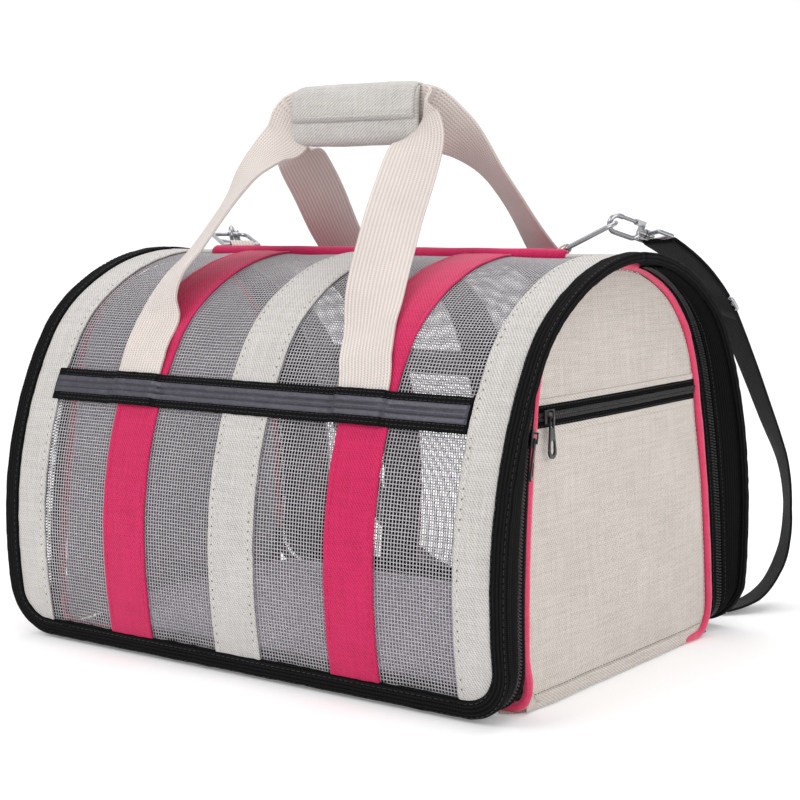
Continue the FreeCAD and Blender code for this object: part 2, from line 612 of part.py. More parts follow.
# mid stations: centre, width direction, thickness direction
front_right = (97.0, [
    ((76.0, -101.0, 248.5), (0.902, 0.431, -0.030), (0.335, -0.654, 0.679)),
    ((66.0, -79.5, 275.5), (0.832, 0.531, -0.160), (0.493, -0.576, 0.652)),
    ((59.0, -59.5, 298.0), (0.804, 0.553, -0.221), (0.551, -0.550, 0.628)),
    ((53.5, -38.0, 322.8), (0.838, 0.531, -0.123), (0.476, -0.603, 0.640)),
    ((48.5, -20.0, 343.0), (0.859, 0.440, 0.262), (0.150, -0.705, 0.693)),
    ((43.5, -7.5, 356.0), (0.501, 0.200, 0.842), (-0.492, -0.735, 0.468))])
front_left = (-92.0, [
    ((-96.0, -109.0, 240.0), (0.940, -0.340, 0.000), (-0.309, -0.853, 0.420)),
    ((-99.5, -98.5, 254.0), (0.833, -0.552, -0.030), (-0.431, -0.682, 0.591)),
    ((-101.0, -79.0, 271.0), (0.768, -0.639, -0.040), (-0.464, -0.599, 0.653)),
    ((-99.1, -58.0, 291.4), (0.749, -0.659, -0.060), (-0.480, -0.603, 0.637)),
    ((-93.5, -42.0, 311.7), (0.773, -0.623, -0.121), (-0.427, -0.652, 0.627)),
    ((-90.0, -28.0, 328.8), (0.823, -0.482, -0.301), (-0.170, -0.715, 0.678)),
    ((-84.0, -15.5, 342.0), (0.719, -0.399, -0.569), (0.107, -0.745, 0.658)),
    ((-76.5, -6.0, 351.5), (0.448, -0.219, -0.867), (0.292, -0.880, 0.374))])
rear_right = (95.0, [
    ((91.5, 96.0, 250.0), (0.970, -0.240, 0.030), (0.163, 0.741, 0.651)),
    ((86.0, 70.0, 279.5), (0.800, -0.580, 0.150), (0.379, 0.684, 0.624)),
    ((77.0, 52.0, 307.0), (0.720, -0.670, 0.180), (0.450, 0.649, 0.614)),
    ((69.5, 38.0, 325.4), (0.664, -0.684, 0.302), (0.348, 0.640, 0.685)),
    ((59.5, 23.0, 343.0), (0.589, -0.507, 0.629), (-0.065, 0.746, 0.663)),
    ((50.0, 10.0, 355.0), (0.341, -0.221, 0.914), (-0.490, 0.788, 0.373))])
rear_left = (-95.0, [
    ((-96.0, 95.0, 256.0), (0.985, 0.121, 0.121), (-0.169, 0.793, 0.586)),
    ((-94.7, 70.0, 287.0), (0.883, 0.301, 0.361), (-0.467, 0.653, 0.596)),
    ((-90.5, 46.0, 314.0), (0.805, 0.453, 0.383), (-0.590, 0.543, 0.598)),
    ((-87.5, 25.0, 335.0), (0.849, 0.518, 0.104), (-0.451, 0.609, 0.652)),
    ((-85.0, 11.0, 350.5), (0.700, 0.220, -0.680), (0.243, 0.821, 0.516))])
feature("front_handle", handle(-1, front_right, front_left))
feature("rear_handle", handle(1, rear_right, rear_left))

gp = new_body("handle_grip")
sk = new_sketch(gp, "YZ_Plane", "Dims.grip_mid_x - Dims.grip_length / 2")
gt, gd = D("grip_tall") / 2, D("grip_deep") / 2
geo(sk, rounded(-gd, GZ - gt, gd, GZ + gt, 10))
geo(sk, rounded(-D("grip_slot_deep") / 2, GZ - D("grip_slot_tall") / 2, D("grip_slot_deep") / 2, GZ + D("grip_slot_tall") / 2, 2))
pad(gp, sk, "Dims.grip_length")

# ---------------------------------------------------------------- D-rings, hooks and shoulder strap
RW, KW = D("ring_wire_rad"), D("hook_wire_rad")
HX = 5.6                                    # half width between the hook's legs, on their centre lines
HOOK_LEN = 22.6                             # from the bend's centre to the swivel face of the strap loop


def frame(o, x, z):
    z = V(z)
    z.normalize()
    x = V(x) - z * V(x).dot(z)
    x.normalize()
    return Placement(V(o), Rotation(x, z.cross(x), z, "ZXY"))


def wire_pipe(edges, rad):
    w = Part.Wire(edges)
    e = edges[0]
    p = e.valueAt(e.FirstParameter)
    t = e.tangentAt(e.FirstParameter)
    c = Part.Wire([Part.makeCircle(rad, p, t)])
    return w.makePipeShell([c], True, True)


def d_ring(wide, long_):
    """closed ring in local XZ: bar along X at z = 0, far side at z = long_"""
    r = 7.0
    k = r * (1 - math.sqrt(0.5))
    h2 = wide / 2
    a = 9.0                                  # far side is narrower
    L = lambda p, q: Part.LineSegment(V(*p), V(*q)).toShape()
    A = lambda p, m, q: Part.Arc(V(*p), V(*m), V(*q)).toShape()
    bar = Part.makeCylinder(RW, wide, V(-h2, 0, 0), V(1, 0, 0))
    # the two legs and the far bend as one bent wire
    top_r = 8.0
    zt = long_ - top_r
    pts = [V(-h2, 0, 0), V(-h2, 0, zt), V(0, 0, zt)]
    legs = [L((-h2, 0, 0), (-h2, 0, zt)), A((-h2, 0, zt), (-h2 + (h2 - (h2 - top_r)) * (1 - math.sqrt(0.5)), 0, long_ - top_r * (1 - math.sqrt(0.5))), (-h2 + top_r, 0, long_)),
            L((-h2 + top_r, 0, long_), (h2 - top_r, 0, long_)),
            A((h2 - top_r, 0, long_), (h2 - top_r * (1 - math.sqrt(0.5)), 0, long_ - top_r * (1 - math.sqrt(0.5))), (h2, 0, zt)),
            L((h2, 0, zt), (h2, 0, 0))]
    ring = wire_pipe(legs, RW)
    ring = ring.fuse([bar, Part.makeSphere(RW, V(-h2, 0, 0)), Part.makeSphere(RW, V(h2, 0, 0))])
    return ring.removeSplitter()


def hook_body():
    """hook along local +Z: nose, eye bend at z = 0, back leg, shoulder with the gate's pin, swivel stem and rivet head"""
    x = HX
    L = lambda p, q: Part.LineSegment(V(*p), V(*q)).toShape()
    A = lambda p, m, q: Part.Arc(V(*p), V(*m), V(*q)).toShape()
    q = x * math.sqrt(0.5)
    edges = [L((x, 0, 2.6), (x, 0, 0)), A((x, 0, 0), (0, 0, -x), (-x, 0, 0)), L((-x, 0, 0), (-x, 0, 13)),
             A((-x, 0, 13), (-q, 0, 13 + q), (0, 0, 13 + x))]
    j = wire_pipe(edges, KW)
    cheeks = [Part.makeBox(3.8, 1.0, 6.4, V(x - 1.9, y, 13.4)) for y in (1.55, -2.55)]
    block = Part.makeBox(x + 2.6, 5.1, 2.2, V(-0.7, -2.55, 17.6))
    pin = Part.makeCylinder(0.7, 5.1, V(x, -2.55, 15.4), V(0, 1, 0))
    shoulder = Part.makeCylinder(2.9, 4.6, V(0, 0, 17.6), V(0, 0, 1))
    stem = Part.makeCylinder(1.3, 8.0, V(0, 0, 22.0), V(0, 0, 1))
    head = Part.makeCylinder(2.2, 1.1, V(0, 0, HOOK_LEN + 3.5), V(0, 0, 1))
    return j.fuse(cheeks + [block, pin, shoulder, stem, head]).removeSplitter()


def hook_gate():
    """straight lever from the shoulder pin down to the nose, on local +X"""
    x = HX
    g = Part.makeCylinder(1.3, 11.4, V(x, 0, 2.95), V(0, 0, 1))
    g = g.fuse(Part.makeCylinder(1.75, 2.5, V(x, -1.25, 15.4), V(0, 1, 0)))
    return g.cut(Part.makeCylinder(0.8, 4.0, V(x, -2.0, 15.4), V(0, 1, 0))).removeSplitter()


def hook_eye(web):
    """rectangular strap loop turning on the stem; its swivel face is local z = 0"""
    w = web / 2 + 1.8
    bar1 = Part.makeCylinder(1.5, 2 * w, V(-w, 0, 1.6), V(1, 0, 0))
    bar2 = Part.makeCylinder(1.5, 2 * w, V(-w, 0, 12.0), V(1, 0, 0))
    sides = [Part.makeCylinder(1.5, 10.4, V(sx * w, 0, 1.6), V(0, 0, 1)) for sx in (-1, 1)]
    balls = [Part.makeSphere(1.5, V(sx * w, 0, z)) for sx in (-1, 1) for z in (1.6, 12.0)]
    boss = Part.makeCylinder(3.4, 3.2, V(0, 0, 0.0), V(0, 0, 1))
    bore = Part.makeCylinder(1.55, 6.0, V(0, 0, -1.0), V(0, 0, 1))
    return bar1.fuse([bar2, boss] + sides + balls).cut(bore).removeSplitter()


HW_PTS = {}
# bar direction, bar start, ring direction, hook direction: the right ring is drawn up by the strap,
# the left one lies over towards the end
HANG = {"right": (V(-0.497, 0.867, 0.0), V(149.5, 6.4, 273.6), V(0.735, 0.500, 0.458), V(0.47, 0.83, -0.30)),
        "left": (V(0.497, 0.867, 0.0), V(-149.5, 6.4, 273.6), V(-0.80, 0.50, 0.20), V(-0.47, 0.83, -0.30))}
for side, sx in (("right", 1), ("left", -1)):
    a, p0, e1, h = HANG[side]
    e1.normalize()
    h.normalize()
    a2 = a - e1 * a.dot(e1)
    a2.normalize()
    wide, long_ = 27.0, 36.0
    mid = p0 + a2 * (wide / 2)
    feature(side + "_d_ring", d_ring(wide, long_), frame(mid, a2, e1))
    # webbing tab round the bar, sewn to the ridge
    tab = Part.makeCylinder(3.0, 18.0, V(-9, 0, 0), V(1, 0, 0)).cut(Part.makeCylinder(RW + 0.15, 20.0, V(-10, 0, 0), V(1, 0, 0)))
    feature(side + "_ring_tab", tab, frame(mid, a2, e1))
    far = mid + e1 * long_ + a2 * 3.0
    # the bend pulls on the far side of the ring
    o = far + h * 1.6
    hx = a2.cross(h) * -1.0 * sx
    fr = frame(o, hx, h)
    feature(side + "_hook_body", hook_body(), fr)
    feature(side + "_hook_gate", hook_gate(), fr)
    eye_o = o + h * HOOK_LEN
    ef = frame(eye_o, V(sx, 0, 0), h)
    feature(side + "_hook_eye", hook_eye(25.0), ef)
    HW_PTS[side] = dict(ring_mid=mid, hx=hx, a=a2, e1=e1, hook_o=o, h=h, fr=fr, ef=ef, end=eye_o + h * 13.5)

# strap route: control points of the centre line, from the right hook to the left hook
e = HW_PTS["right"]
s0 = e["end"] + e["h"] * 0.05
el = HW_PTS["left"]
s1 = el["end"] + el["h"] * 0.05
ROUTE = [s0, V(197, 122, 262), V(200, 174, 203), V(200.5, 213, 142), V(200.5, 242.6, 106.8), V(200.5, 251.9, 74.1),
         V(200.5, 247.9, 45.4), V(198.2, 232, 22.2), V(190.5, 209.5, 8.5), V(175.2, 187.7, 4.2), V(150.9, 173.6, 4.2),
         V(121.9, 167, 4.2), V(80, 168, 4.2), V(30, 171.5, 4.2), V(-16, 176, 4.2), V(-56, 183, 4.2), V(-88, 191, 5.5),
         V(-128, 198, 22), V(-156, 199, 58), V(-172, 192, 104), V(-181, 178, 154), V(-187, 155, 202), V(-191, 114, 244.5), s1]


def cord_wire(pts):
    """straight runs joined by tangent arcs"""
    n = len(pts)
    turns = []
    for k in range(1, n - 1):
        u, w = pts[k] - pts[k - 1], pts[k + 1] - pts[k]
        lu, lw = u.Length, w.Length
        ang = u.getAngle(w)
        r = 0.45 * min(lu, lw) / math.tan(ang / 2)
        turns.append((k, r, ang))
    edges, cur, total = [], pts[0], 0.0
    for k, r, ang in turns:
        u, w = pts[k] - pts[k - 1], pts[k + 1] - pts[k]
        u.normalize()
        w.normalize()
        d = r * math.tan(ang / 2)
        a, b = pts[k] - u * d, pts[k] + w * d
        bis = w - u
        bis.normalize()
        c = pts[k] + bis * (r / math.cos(ang / 2))
        m = c - bis * r
        edges.append(Part.LineSegment(cur, a).toShape())
        edges.append(Part.Arc(a, m, b).toShape())
        cur = b
    edges.append(Part.LineSegment(cur, pts[-1]).toShape())
    return edges, turns


edges, turns = cord_wire(ROUTE)
cord = wire_pipe(edges, D("strap_rad"))
length = sum(x.Length for x in edges)
print("strap: length %.1f mm, radii %s" % (length, ["%.0f" % r for _, r, _ in turns]))
print("strap: runs %s" % ["%.0f" % (b - a).Length for a, b in zip(ROUTE, ROUTE[1:])])
print("strap: volume ratio %.4f" % (cord.Volume / (length * math.pi * D("strap_rad") ** 2)))
feature("shoulder_strap", cord)

# tri-glide adjuster round the strap, a plate with a bore for the strap
ad_at = ROUTE[1] + (ROUTE[2] - ROUTE[1]) * 0.52
ad_dir = ROUTE[2] - ROUTE[1]
ad_dir.normalize()
ad = Part.makeBox(34, 11.4, 14, V(-17, -5.7, -7)).cut(Part.makeCylinder(D("strap_rad") + 0.35, 30, V(0, 0, -15), V(0, 0, 1)))
feature("strap_adjuster", ad, frame(ad_at, V(1, 0, 0), ad_dir))

# ---------------------------------------------------------------- check and write
doc.recompute()
bad = [o.Name for o in doc.Objects if "Invalid" in o.State or "Error" in o.State]
if bad:
    raise RuntimeError("failed objects: %s" % bad)
os.makedirs("parts", exist_ok=True)
for f in os.listdir("parts"):
    if f.endswith(".step"):
        os.remove(os.path.join("parts", f))
for label, obj in NODES:
    shp = obj.Shape
    if shp.isNull() or not shp.isValid() or shp.Volume <= 0:
        raise RuntimeError("bad shape: %s valid %s volume %s" % (label, shp.isValid(), shp.Volume))
    shp.exportStep("parts/%s.step" % label)
print("nodes", len(NODES))


def circ(points):
    """centre, axis and radius of the circle through three points"""
    a, b, c = points
    ab, ac = b - a, c - a
    n = ab.cross(ac)
    cen = a + (n.cross(ab) * ac.dot(ac) + ac.cross(n) * ab.dot(ab)) / (2 * n.dot(n))
    n.normalize()
    return cen, n, (a - cen).Length


for k, (f, pts) in JOINTS.items():
    print("JOINT", k, "base", [round(v, 4) for v in f.Base], "x", [round(v, 5) for v in f.Rotation.multVec(V(1, 0, 0))],
          "y", [round(v, 5) for v in f.Rotation.multVec(V(0, 1, 0))], "z", [round(v, 5) for v in f.Rotation.multVec(V(0, 0, 1))],
          "bar", [round(v, 4) for v in f.multVec(PB)])
    if pts:
        c, n, r = circ(pts)
        print("   circle", [round(v, 4) for v in c], "axis", [round(v, 5) for v in n], "r", round(r, 2))
for k, h in HW_PTS.items():
    print("HW", k, {kk: [round(v, 3) for v in (vv if isinstance(vv, V) else vv.Base)] for kk, vv in h.items()})
print("ROUTE", [tuple(round(v, 2) for v in p) for p in ROUTE])
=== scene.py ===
import json
import math
import bpy
import bmesh
import numpy as np
from mathutils import Matrix, Vector

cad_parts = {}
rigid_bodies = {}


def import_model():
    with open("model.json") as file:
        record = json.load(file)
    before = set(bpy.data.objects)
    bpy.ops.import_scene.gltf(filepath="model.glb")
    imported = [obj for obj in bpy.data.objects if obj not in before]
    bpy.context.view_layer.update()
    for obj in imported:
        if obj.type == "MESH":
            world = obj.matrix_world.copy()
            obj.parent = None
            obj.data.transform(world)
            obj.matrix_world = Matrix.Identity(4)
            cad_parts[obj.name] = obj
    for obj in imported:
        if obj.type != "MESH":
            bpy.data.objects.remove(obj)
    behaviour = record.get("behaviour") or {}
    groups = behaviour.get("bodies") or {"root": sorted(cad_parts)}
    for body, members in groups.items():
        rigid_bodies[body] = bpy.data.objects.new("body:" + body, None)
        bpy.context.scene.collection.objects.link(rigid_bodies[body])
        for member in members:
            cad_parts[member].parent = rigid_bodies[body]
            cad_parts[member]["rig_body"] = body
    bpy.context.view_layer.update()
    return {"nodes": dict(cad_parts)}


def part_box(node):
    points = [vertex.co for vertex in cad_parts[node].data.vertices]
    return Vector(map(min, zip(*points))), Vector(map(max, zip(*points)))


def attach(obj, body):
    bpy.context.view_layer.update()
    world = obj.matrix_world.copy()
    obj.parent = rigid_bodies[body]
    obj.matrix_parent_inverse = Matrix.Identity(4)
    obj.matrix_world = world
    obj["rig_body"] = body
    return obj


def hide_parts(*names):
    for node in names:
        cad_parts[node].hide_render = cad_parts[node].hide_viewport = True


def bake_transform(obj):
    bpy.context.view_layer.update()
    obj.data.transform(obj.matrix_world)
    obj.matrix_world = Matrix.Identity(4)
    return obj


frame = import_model()
NODES = frame["nodes"]
MM = 0.001
RNG = np.random.default_rng(819)
A = np.array


# ============================================================ camera
def make_camera():
    yaw, pitch, roll = 0.630778606, 0.109484572, -0.00439426486
    fw = A([-math.sin(yaw) * math.cos(pitch), math.cos(yaw) * math.cos(pitch), -math.sin(pitch)])
    rt = A([math.cos(yaw), math.sin(yaw), 0.0])
    up = np.cross(rt, fw)
    r2 = rt * math.cos(roll) + up * math.sin(roll)
    u2 = -rt * math.sin(roll) + up * math.cos(roll)
    cam = bpy.data.objects.new("camera", bpy.data.cameras.new("camera"))
    bpy.context.scene.collection.objects.link(cam)
    cam.data.sensor_width = 36.0
    cam.data.lens = 77.295
    cam.data.clip_start = 0.05
    cam.data.clip_end = 30.0
    m = Matrix.Identity(4)
    for i in range(3):
        m[i][0], m[i][1], m[i][2] = r2[i], u2[i], -fw[i]
    for i, c in enumerate((723.594689, -965.369350, 298.065236)):
        m[i][3] = c * MM
    cam.matrix_world = m
    bpy.context.scene.camera = cam


make_camera()


# ============================================================ node helpers
def lin(r, g, b):
    f = lambda c: c / 12.92 if c <= 0.04045 else ((c + 0.055) / 1.055) ** 2.4
    return (f(r / 255.0), f(g / 255.0), f(b / 255.0), 1.0)


class Mat:
    """a small builder for procedural materials; coordinates are millimetres"""

    def __init__(self, name, coords="uv"):
        self.m = bpy.data.materials.new(name)
        self.m.use_nodes = True
        self.nt = self.m.node_tree
        self.bsdf = self.nt.nodes["Principled BSDF"]
        self.coords = coords
        self._xyz = None
        self._vec = None

    def put(self, kind, **props):
        n = self.nt.nodes.new(kind)
        for k, v in props.items():
            setattr(n, k, v)
        return n

    def feed(self, socket, value):
        if hasattr(value, "links") or isinstance(value, bpy.types.NodeSocket):
            self.nt.links.new(value, socket)
        else:
            socket.default_value = value

    def vec(self):
        if self._vec is None:
            if self.coords == "uv":
                self._vec = self.put("ShaderNodeUVMap", uv_map="mm").outputs["UV"]
            else:
                tc = self.put("ShaderNodeTexCoord").outputs["Object"]
                mp = self.put("ShaderNodeMapping")
                mp.inputs["Scale"].default_value = (1000.0, 1000.0, 1000.0)
                self.feed(mp.inputs["Vector"], tc)
                self._vec = mp.outputs["Vector"]
        return self._vec

    def xyz(self):
        if self._xyz is None:
            s = self.put("ShaderNodeSeparateXYZ")
            self.feed(s.inputs[0], self.vec())
            self._xyz = (s.outputs[0], s.outputs[1], s.outputs[2])
        return self._xyz

    def calc(self, op, a, b=0.0, c=0.0):
        n = self.put("ShaderNodeMath", operation=op)
        self.feed(n.inputs[0], a)
        self.feed(n.inputs[1], b)
        if op in ("MULTIPLY_ADD", "WRAP", "SMOOTH_MIN", "COMPARE"):
            self.feed(n.inputs[2], c)
        return n.outputs[0]

    def combine(self, x, y, z=0.0):
        n = self.put("ShaderNodeCombineXYZ")
        for i, v in enumerate((x, y, z)):
            self.feed(n.inputs[i], v)
        return n.outputs[0]

    def noise(self, scale, stretch=(1, 1, 1), detail=3.0, rough=0.6, vec=None):
        mp = self.put("ShaderNodeMapping")
        mp.inputs["Scale"].default_value = stretch
        self.feed(mp.inputs["Vector"], self.vec() if vec is None else vec)
        n = self.put("ShaderNodeTexNoise")
        n.inputs["Scale"].default_value = scale
        n.inputs["Detail"].default_value = detail
        n.inputs["Roughness"].default_value = rough
        self.feed(n.inputs["Vector"], mp.outputs["Vector"])
        return n.outputs["Fac"]

    def ramp(self, fac, stops):
        n = self.put("ShaderNodeValToRGB")
        self.feed(n.inputs["Fac"], fac)
        e = n.color_ramp.elements
        while len(e) < len(stops):
            e.new(0.5)
        for el, (p, c) in zip(e, stops):
            el.position = p
            el.color = c
        return n.outputs["Color"]

    def remap(self, v, a, b, c, d):
        n = self.put("ShaderNodeMapRange")
        self.feed(n.inputs["Value"], v)
        for i, x in zip(("From Min", "From Max", "To Min", "To Max"), (a, b, c, d)):
            n.inputs[i].default_value = x
        return n.outputs["Result"]

    def mix(self, fac, a, b, kind="MIX"):
        n = self.put("ShaderNodeMix", data_type="RGBA", blend_type=kind)
        self.feed(n.inputs[0], fac)
        self.feed(n.inputs[6], a)
        self.feed(n.inputs[7], b)
        return n.outputs[2]

    def scale_color(self, color, k):
        """color times a grey factor k (a socket)"""
        g = self.put("ShaderNodeCombineColor")
        for i in range(3):
            self.feed(g.inputs[i], k)
        return self.mix(1.0, color, g.outputs[0], "MULTIPLY")

    def bump(self, height, strength, distance):
        n = self.put("ShaderNodeBump")
        n.inputs["Strength"].default_value = strength
        n.inputs["Distance"].default_value = distance * MM
        self.feed(n.inputs["Height"], height)
        if self.bsdf.inputs["Normal"].links:
            self.feed(n.inputs["Normal"], self.bsdf.inputs["Normal"].links[0].from_socket)
        self.feed(self.bsdf.inputs["Normal"], n.outputs["Normal"])

    def done(self, color=None, rough=0.7, spec=0.3, metal=0.0, sheen=0.0, sheen_rough=0.5, coat=0.0, coat_rough=0.2):
        if color is not None:
            self.feed(self.bsdf.inputs["Base Color"], color)
        self.feed(self.bsdf.inputs["Roughness"], rough)
        self.bsdf.inputs["Specular IOR Level"].default_value = spec
        self.bsdf.inputs["Metallic"].default_value = metal
        self.bsdf.inputs["Sheen Weight"].default_value = sheen
        self.bsdf.inputs["Sheen Roughness"].default_value = sheen_rough
        self.bsdf.inputs["Coat Weight"].default_value = coat
        self.bsdf.inputs["Coat Roughness"].default_value = coat_rough
        return self.m


def weave_fabric(name, base, dark_fleck_and_hollow_shade, pale_fleck_and_crest_highlight, pitch=0.9, twill=0.0, depth=0.35, rough=0.85, sheen=0.15, slub=0.5, spec=0.2, coords="uv",
                 axes=(0, 1), blotch=0.5):
    """plain or twill weave: two thread directions, streaky slubs in both, soft blotches; the colour also follows the
    weave height, with painted shade in the hollows and painted highlight on the crests
    """
    m = Mat(name, coords)
    x, y = m.xyz()[axes[0]], m.xyz()[axes[1]]
    k = 2 * math.pi / pitch
    wob = m.noise(0.35, detail=2.0)
    xs = m.calc("MULTIPLY_ADD", m.calc("SUBTRACT", wob, 0.5), pitch * 0.9, x)
    ys = m.calc("MULTIPLY_ADD", m.calc("SUBTRACT", wob, 0.5), pitch * 0.7, y)
    if twill:
        d = m.calc("ADD", xs, m.calc("MULTIPLY", ys, twill))
        a = m.calc("SINE", m.calc("MULTIPLY", d, k * 0.8))
        b = m.calc("SINE", m.calc("MULTIPLY", ys, k * 1.3))
        h = m.calc("ADD", m.calc("MULTIPLY", a, 0.34), m.calc("MULTIPLY", b, 0.16))
    else:
        a = m.calc("SINE", m.calc("MULTIPLY", xs, k))
        b = m.calc("SINE", m.calc("MULTIPLY", ys, k))
        h = m.calc("MULTIPLY", m.calc("MULTIPLY", a, b), 0.5)
    h = m.calc("ADD", h, 0.5)
    v = m.combine(x, y)
    warp = m.noise(1.0 / pitch * 0.75, (1.0, 0.06, 1.0), 3.0, 0.7, v)
    weft = m.noise(1.0 / pitch * 0.75, (0.06, 1.0, 1.0), 3.0, 0.7, v)
    streak = m.calc("MULTIPLY", m.calc("ADD", warp, weft), 0.5)
    big = m.noise(0.018, detail=3.0, vec=v)
    # colour mix: the weave height gives painted shade in the hollows and painted highlight on the crests; the slub
    # streaks are real tone
    t = m.calc("ADD", m.calc("MULTIPLY", h, 0.5), m.calc("MULTIPLY", m.remap(streak, 0.32, 0.68, 0.0, 1.0), slub))
    col = m.ramp(m.calc("DIVIDE", t, 0.5 + slub), [(0.05, dark_fleck_and_hollow_shade), (0.45, base), (0.95, pale_fleck_and_crest_highlight)])
    col = m.scale_color(col, m.remap(big, 0.3, 0.7, 1.0 - 0.07 * blotch, 1.0 + 0.03 * blotch))
    m.bump(m.calc("ADD", m.calc("MULTIPLY", h, 0.7), m.calc("MULTIPLY", streak, 0.9)), 0.7, depth)
    return m.done(col, rough, spec, sheen=sheen)


def rib_webbing(name, base, dark_fleck_and_hollow_shade, pale_fleck_and_crest_highlight, rib=2.1, pick=1.3, depth=0.5, rough=0.8, sheen=0.1, spec=0.25, chevron=True, across=0, along=1):
    """woven webbing or tape: cords along its length, picks slanting up and down on alternate cords; the colour follows
    the cord height, with painted shade in the grooves and painted highlight on the raised cords, plus random fuzz
    """
    m = Mat(name)
    x, y = m.xyz()[across], m.xyz()[along]
    k = 2 * math.pi / rib
    c = m.calc("COSINE", m.calc("MULTIPLY", x, k))
    tri = m.calc("PINGPONG", x, rib / 2 if chevron else rib * 50)
    d = m.calc("ADD", y, m.calc("MULTIPLY", tri, 0.9 if chevron else 0.25))
    p = m.calc("SINE", m.calc("MULTIPLY", d, 2 * math.pi / pick))
    h = m.calc("ADD", m.calc("MULTIPLY", c, 0.28), m.calc("MULTIPLY", p, 0.26))
    h = m.calc("ADD", h, 0.5)
    fuzz = m.noise(1.6, (1.0, 0.5, 1.0), 3.0, 0.7)
    big = m.noise(0.03, detail=2.0)
    # colour mix: the rib and pick height gives painted shade in the grooves and painted highlight on the cords; the
    # fuzz is real tone
    t = m.calc("ADD", m.calc("MULTIPLY", h, 0.7), m.calc("MULTIPLY", fuzz, 0.3))
    col = m.ramp(t, [(0.18, dark_fleck_and_hollow_shade), (0.5, base), (0.85, pale_fleck_and_crest_highlight)])
    col = m.scale_color(col, m.remap(big, 0.3, 0.7, 0.96, 1.03))
    m.bump(m.calc("ADD", h, m.calc("MULTIPLY", fuzz, 0.35)), 0.8, depth)
    return m.done(col, rough, spec, sheen=sheen)


def metal(name, base, rough=0.16, scratch=0.12):
    m = Mat(name, "object")
    n = m.noise(0.35, detail=5.0, rough=0.7)
    f = m.noise(2.5, (1.0, 1.0, 0.15), 3.0)
    r = m.calc("ADD", m.remap(n, 0.3, 0.7, rough * 0.7, rough * 1.5), m.calc("MULTIPLY", f, scratch * 0.3))
    col = m.ramp(n, [(0.3, tuple(0.9 * c for c in base[:3]) + (1.0,)), (0.7, base)])
    m.bump(f, 0.08, 0.05)
    return m.done(col, r, 0.5, metal=1.0)


def enamel(name, base, rough=0.35):
    m = Mat(name, "object")
    n = m.noise(0.8, detail=4.0)
    col = m.ramp(n, [(0.3, tuple(0.75 * c for c in base[:3]) + (1.0,)), (0.7, tuple(1.3 * c for c in base[:3]) + (1.0,))])
    m.bump(m.noise(1.5, detail=2.0), 0.1, 0.08)
    return m.done(col, m.remap(n, 0.3, 0.7, rough * 0.8, rough * 1.25), 0.5, coat=0.3, coat_rough=0.15)


CREAM = weave_fabric("cream_canvas", lin(196, 188, 181), lin(156, 148, 140), lin(219, 213, 206), pitch=1.6, twill=0.6, depth=0.26, slub=0.3,
                     blotch=0.8)
CREAM_STRIP = weave_fabric("cream_strip_twill", lin(190, 187, 184), lin(148, 145, 142), lin(216, 213, 211), pitch=1.7, twill=0.75, depth=0.26,
                           slub=0.25)
PINK = weave_fabric("pink_twill", lin(194, 11, 81), lin(142, 3, 50), lin(212, 32, 100), pitch=1.7, twill=0.8, depth=0.28, slub=0.3,
                    rough=0.72, sheen=0.2, spec=0.25)
PINK_CORD = weave_fabric("pink_piping", lin(214, 30, 84), lin(160, 10, 50), lin(236, 84, 130), pitch=0.9, twill=1.0, depth=0.15, slub=0.3,
                         rough=0.5, sheen=0.3, spec=0.45)
HANDLE = rib_webbing("cream_webbing", lin(213, 203, 198), lin(184, 172, 166), lin(229, 221, 217), rib=2.4, pick=1.6, depth=0.32)
STRAP = rib_webbing("black_webbing", lin(13, 13, 14), lin(5, 5, 6), lin(32, 32, 35), rib=2.1, pick=1.2, depth=0.35, rough=0.6, sheen=0.0, spec=0.08)
BINDING = rib_webbing("black_tape", lin(13, 13, 14), lin(5, 5, 6), lin(33, 33, 35), rib=2.6, pick=1.1, depth=0.22, rough=0.85, sheen=0.0, spec=0.07,
                      chevron=False)
BAND = rib_webbing("black_band", lin(13, 13, 14), lin(5, 5, 6), lin(31, 31, 34), rib=1.6, pick=1.0, depth=0.2, rough=0.85, sheen=0.0, spec=0.07,
                   chevron=False, across=1, along=0)
ZIPTAPE = rib_webbing("black_zip_tape", lin(11, 11, 12), lin(4, 4, 5), lin(27, 27, 29), rib=1.5, pick=0.9, depth=0.2, rough=0.9, sheen=0.0, spec=0.06)
# near-black backing behind the strips: painted shade of their unlit inner face
BACKING_SHADE = weave_fabric("backing_shade", lin(50, 48, 53), lin(34, 33, 37), lin(66, 64, 70), pitch=1.2, depth=0.15, slub=0.3)
GREY = weave_fabric("grey_fabric", lin(204, 195, 214), lin(178, 170, 188), lin(217, 210, 226), pitch=1.2, depth=0.18, slub=0.4)
LINING = weave_fabric("lining_grey", lin(176, 172, 182), lin(150, 146, 158), lin(196, 193, 202), pitch=1.0, depth=0.12, slub=0.3)
CHROME = metal("bright_metal", lin(178, 179, 183), 0.14)
ENAMEL = enamel("black_enamel", lin(22, 22, 24))
WIRE = enamel("frame_wire", lin(30, 30, 33), 0.5)


def make_net_mat():
    m = Mat("netting", "object")
    n = m.noise(0.6, detail=3.0)
    big = m.noise(0.02, detail=2.0)
    col = m.ramp(n, [(0.25, lin(150, 147, 151)), (0.6, lin(184, 181, 185)), (0.9, lin(208, 206, 209))])
    col = m.scale_color(col, m.remap(big, 0.3, 0.7, 0.9, 1.05))
    m.bump(n, 0.15, 0.1)
    return m.done(col, 0.45, 0.4)


NETMAT = make_net_mat()


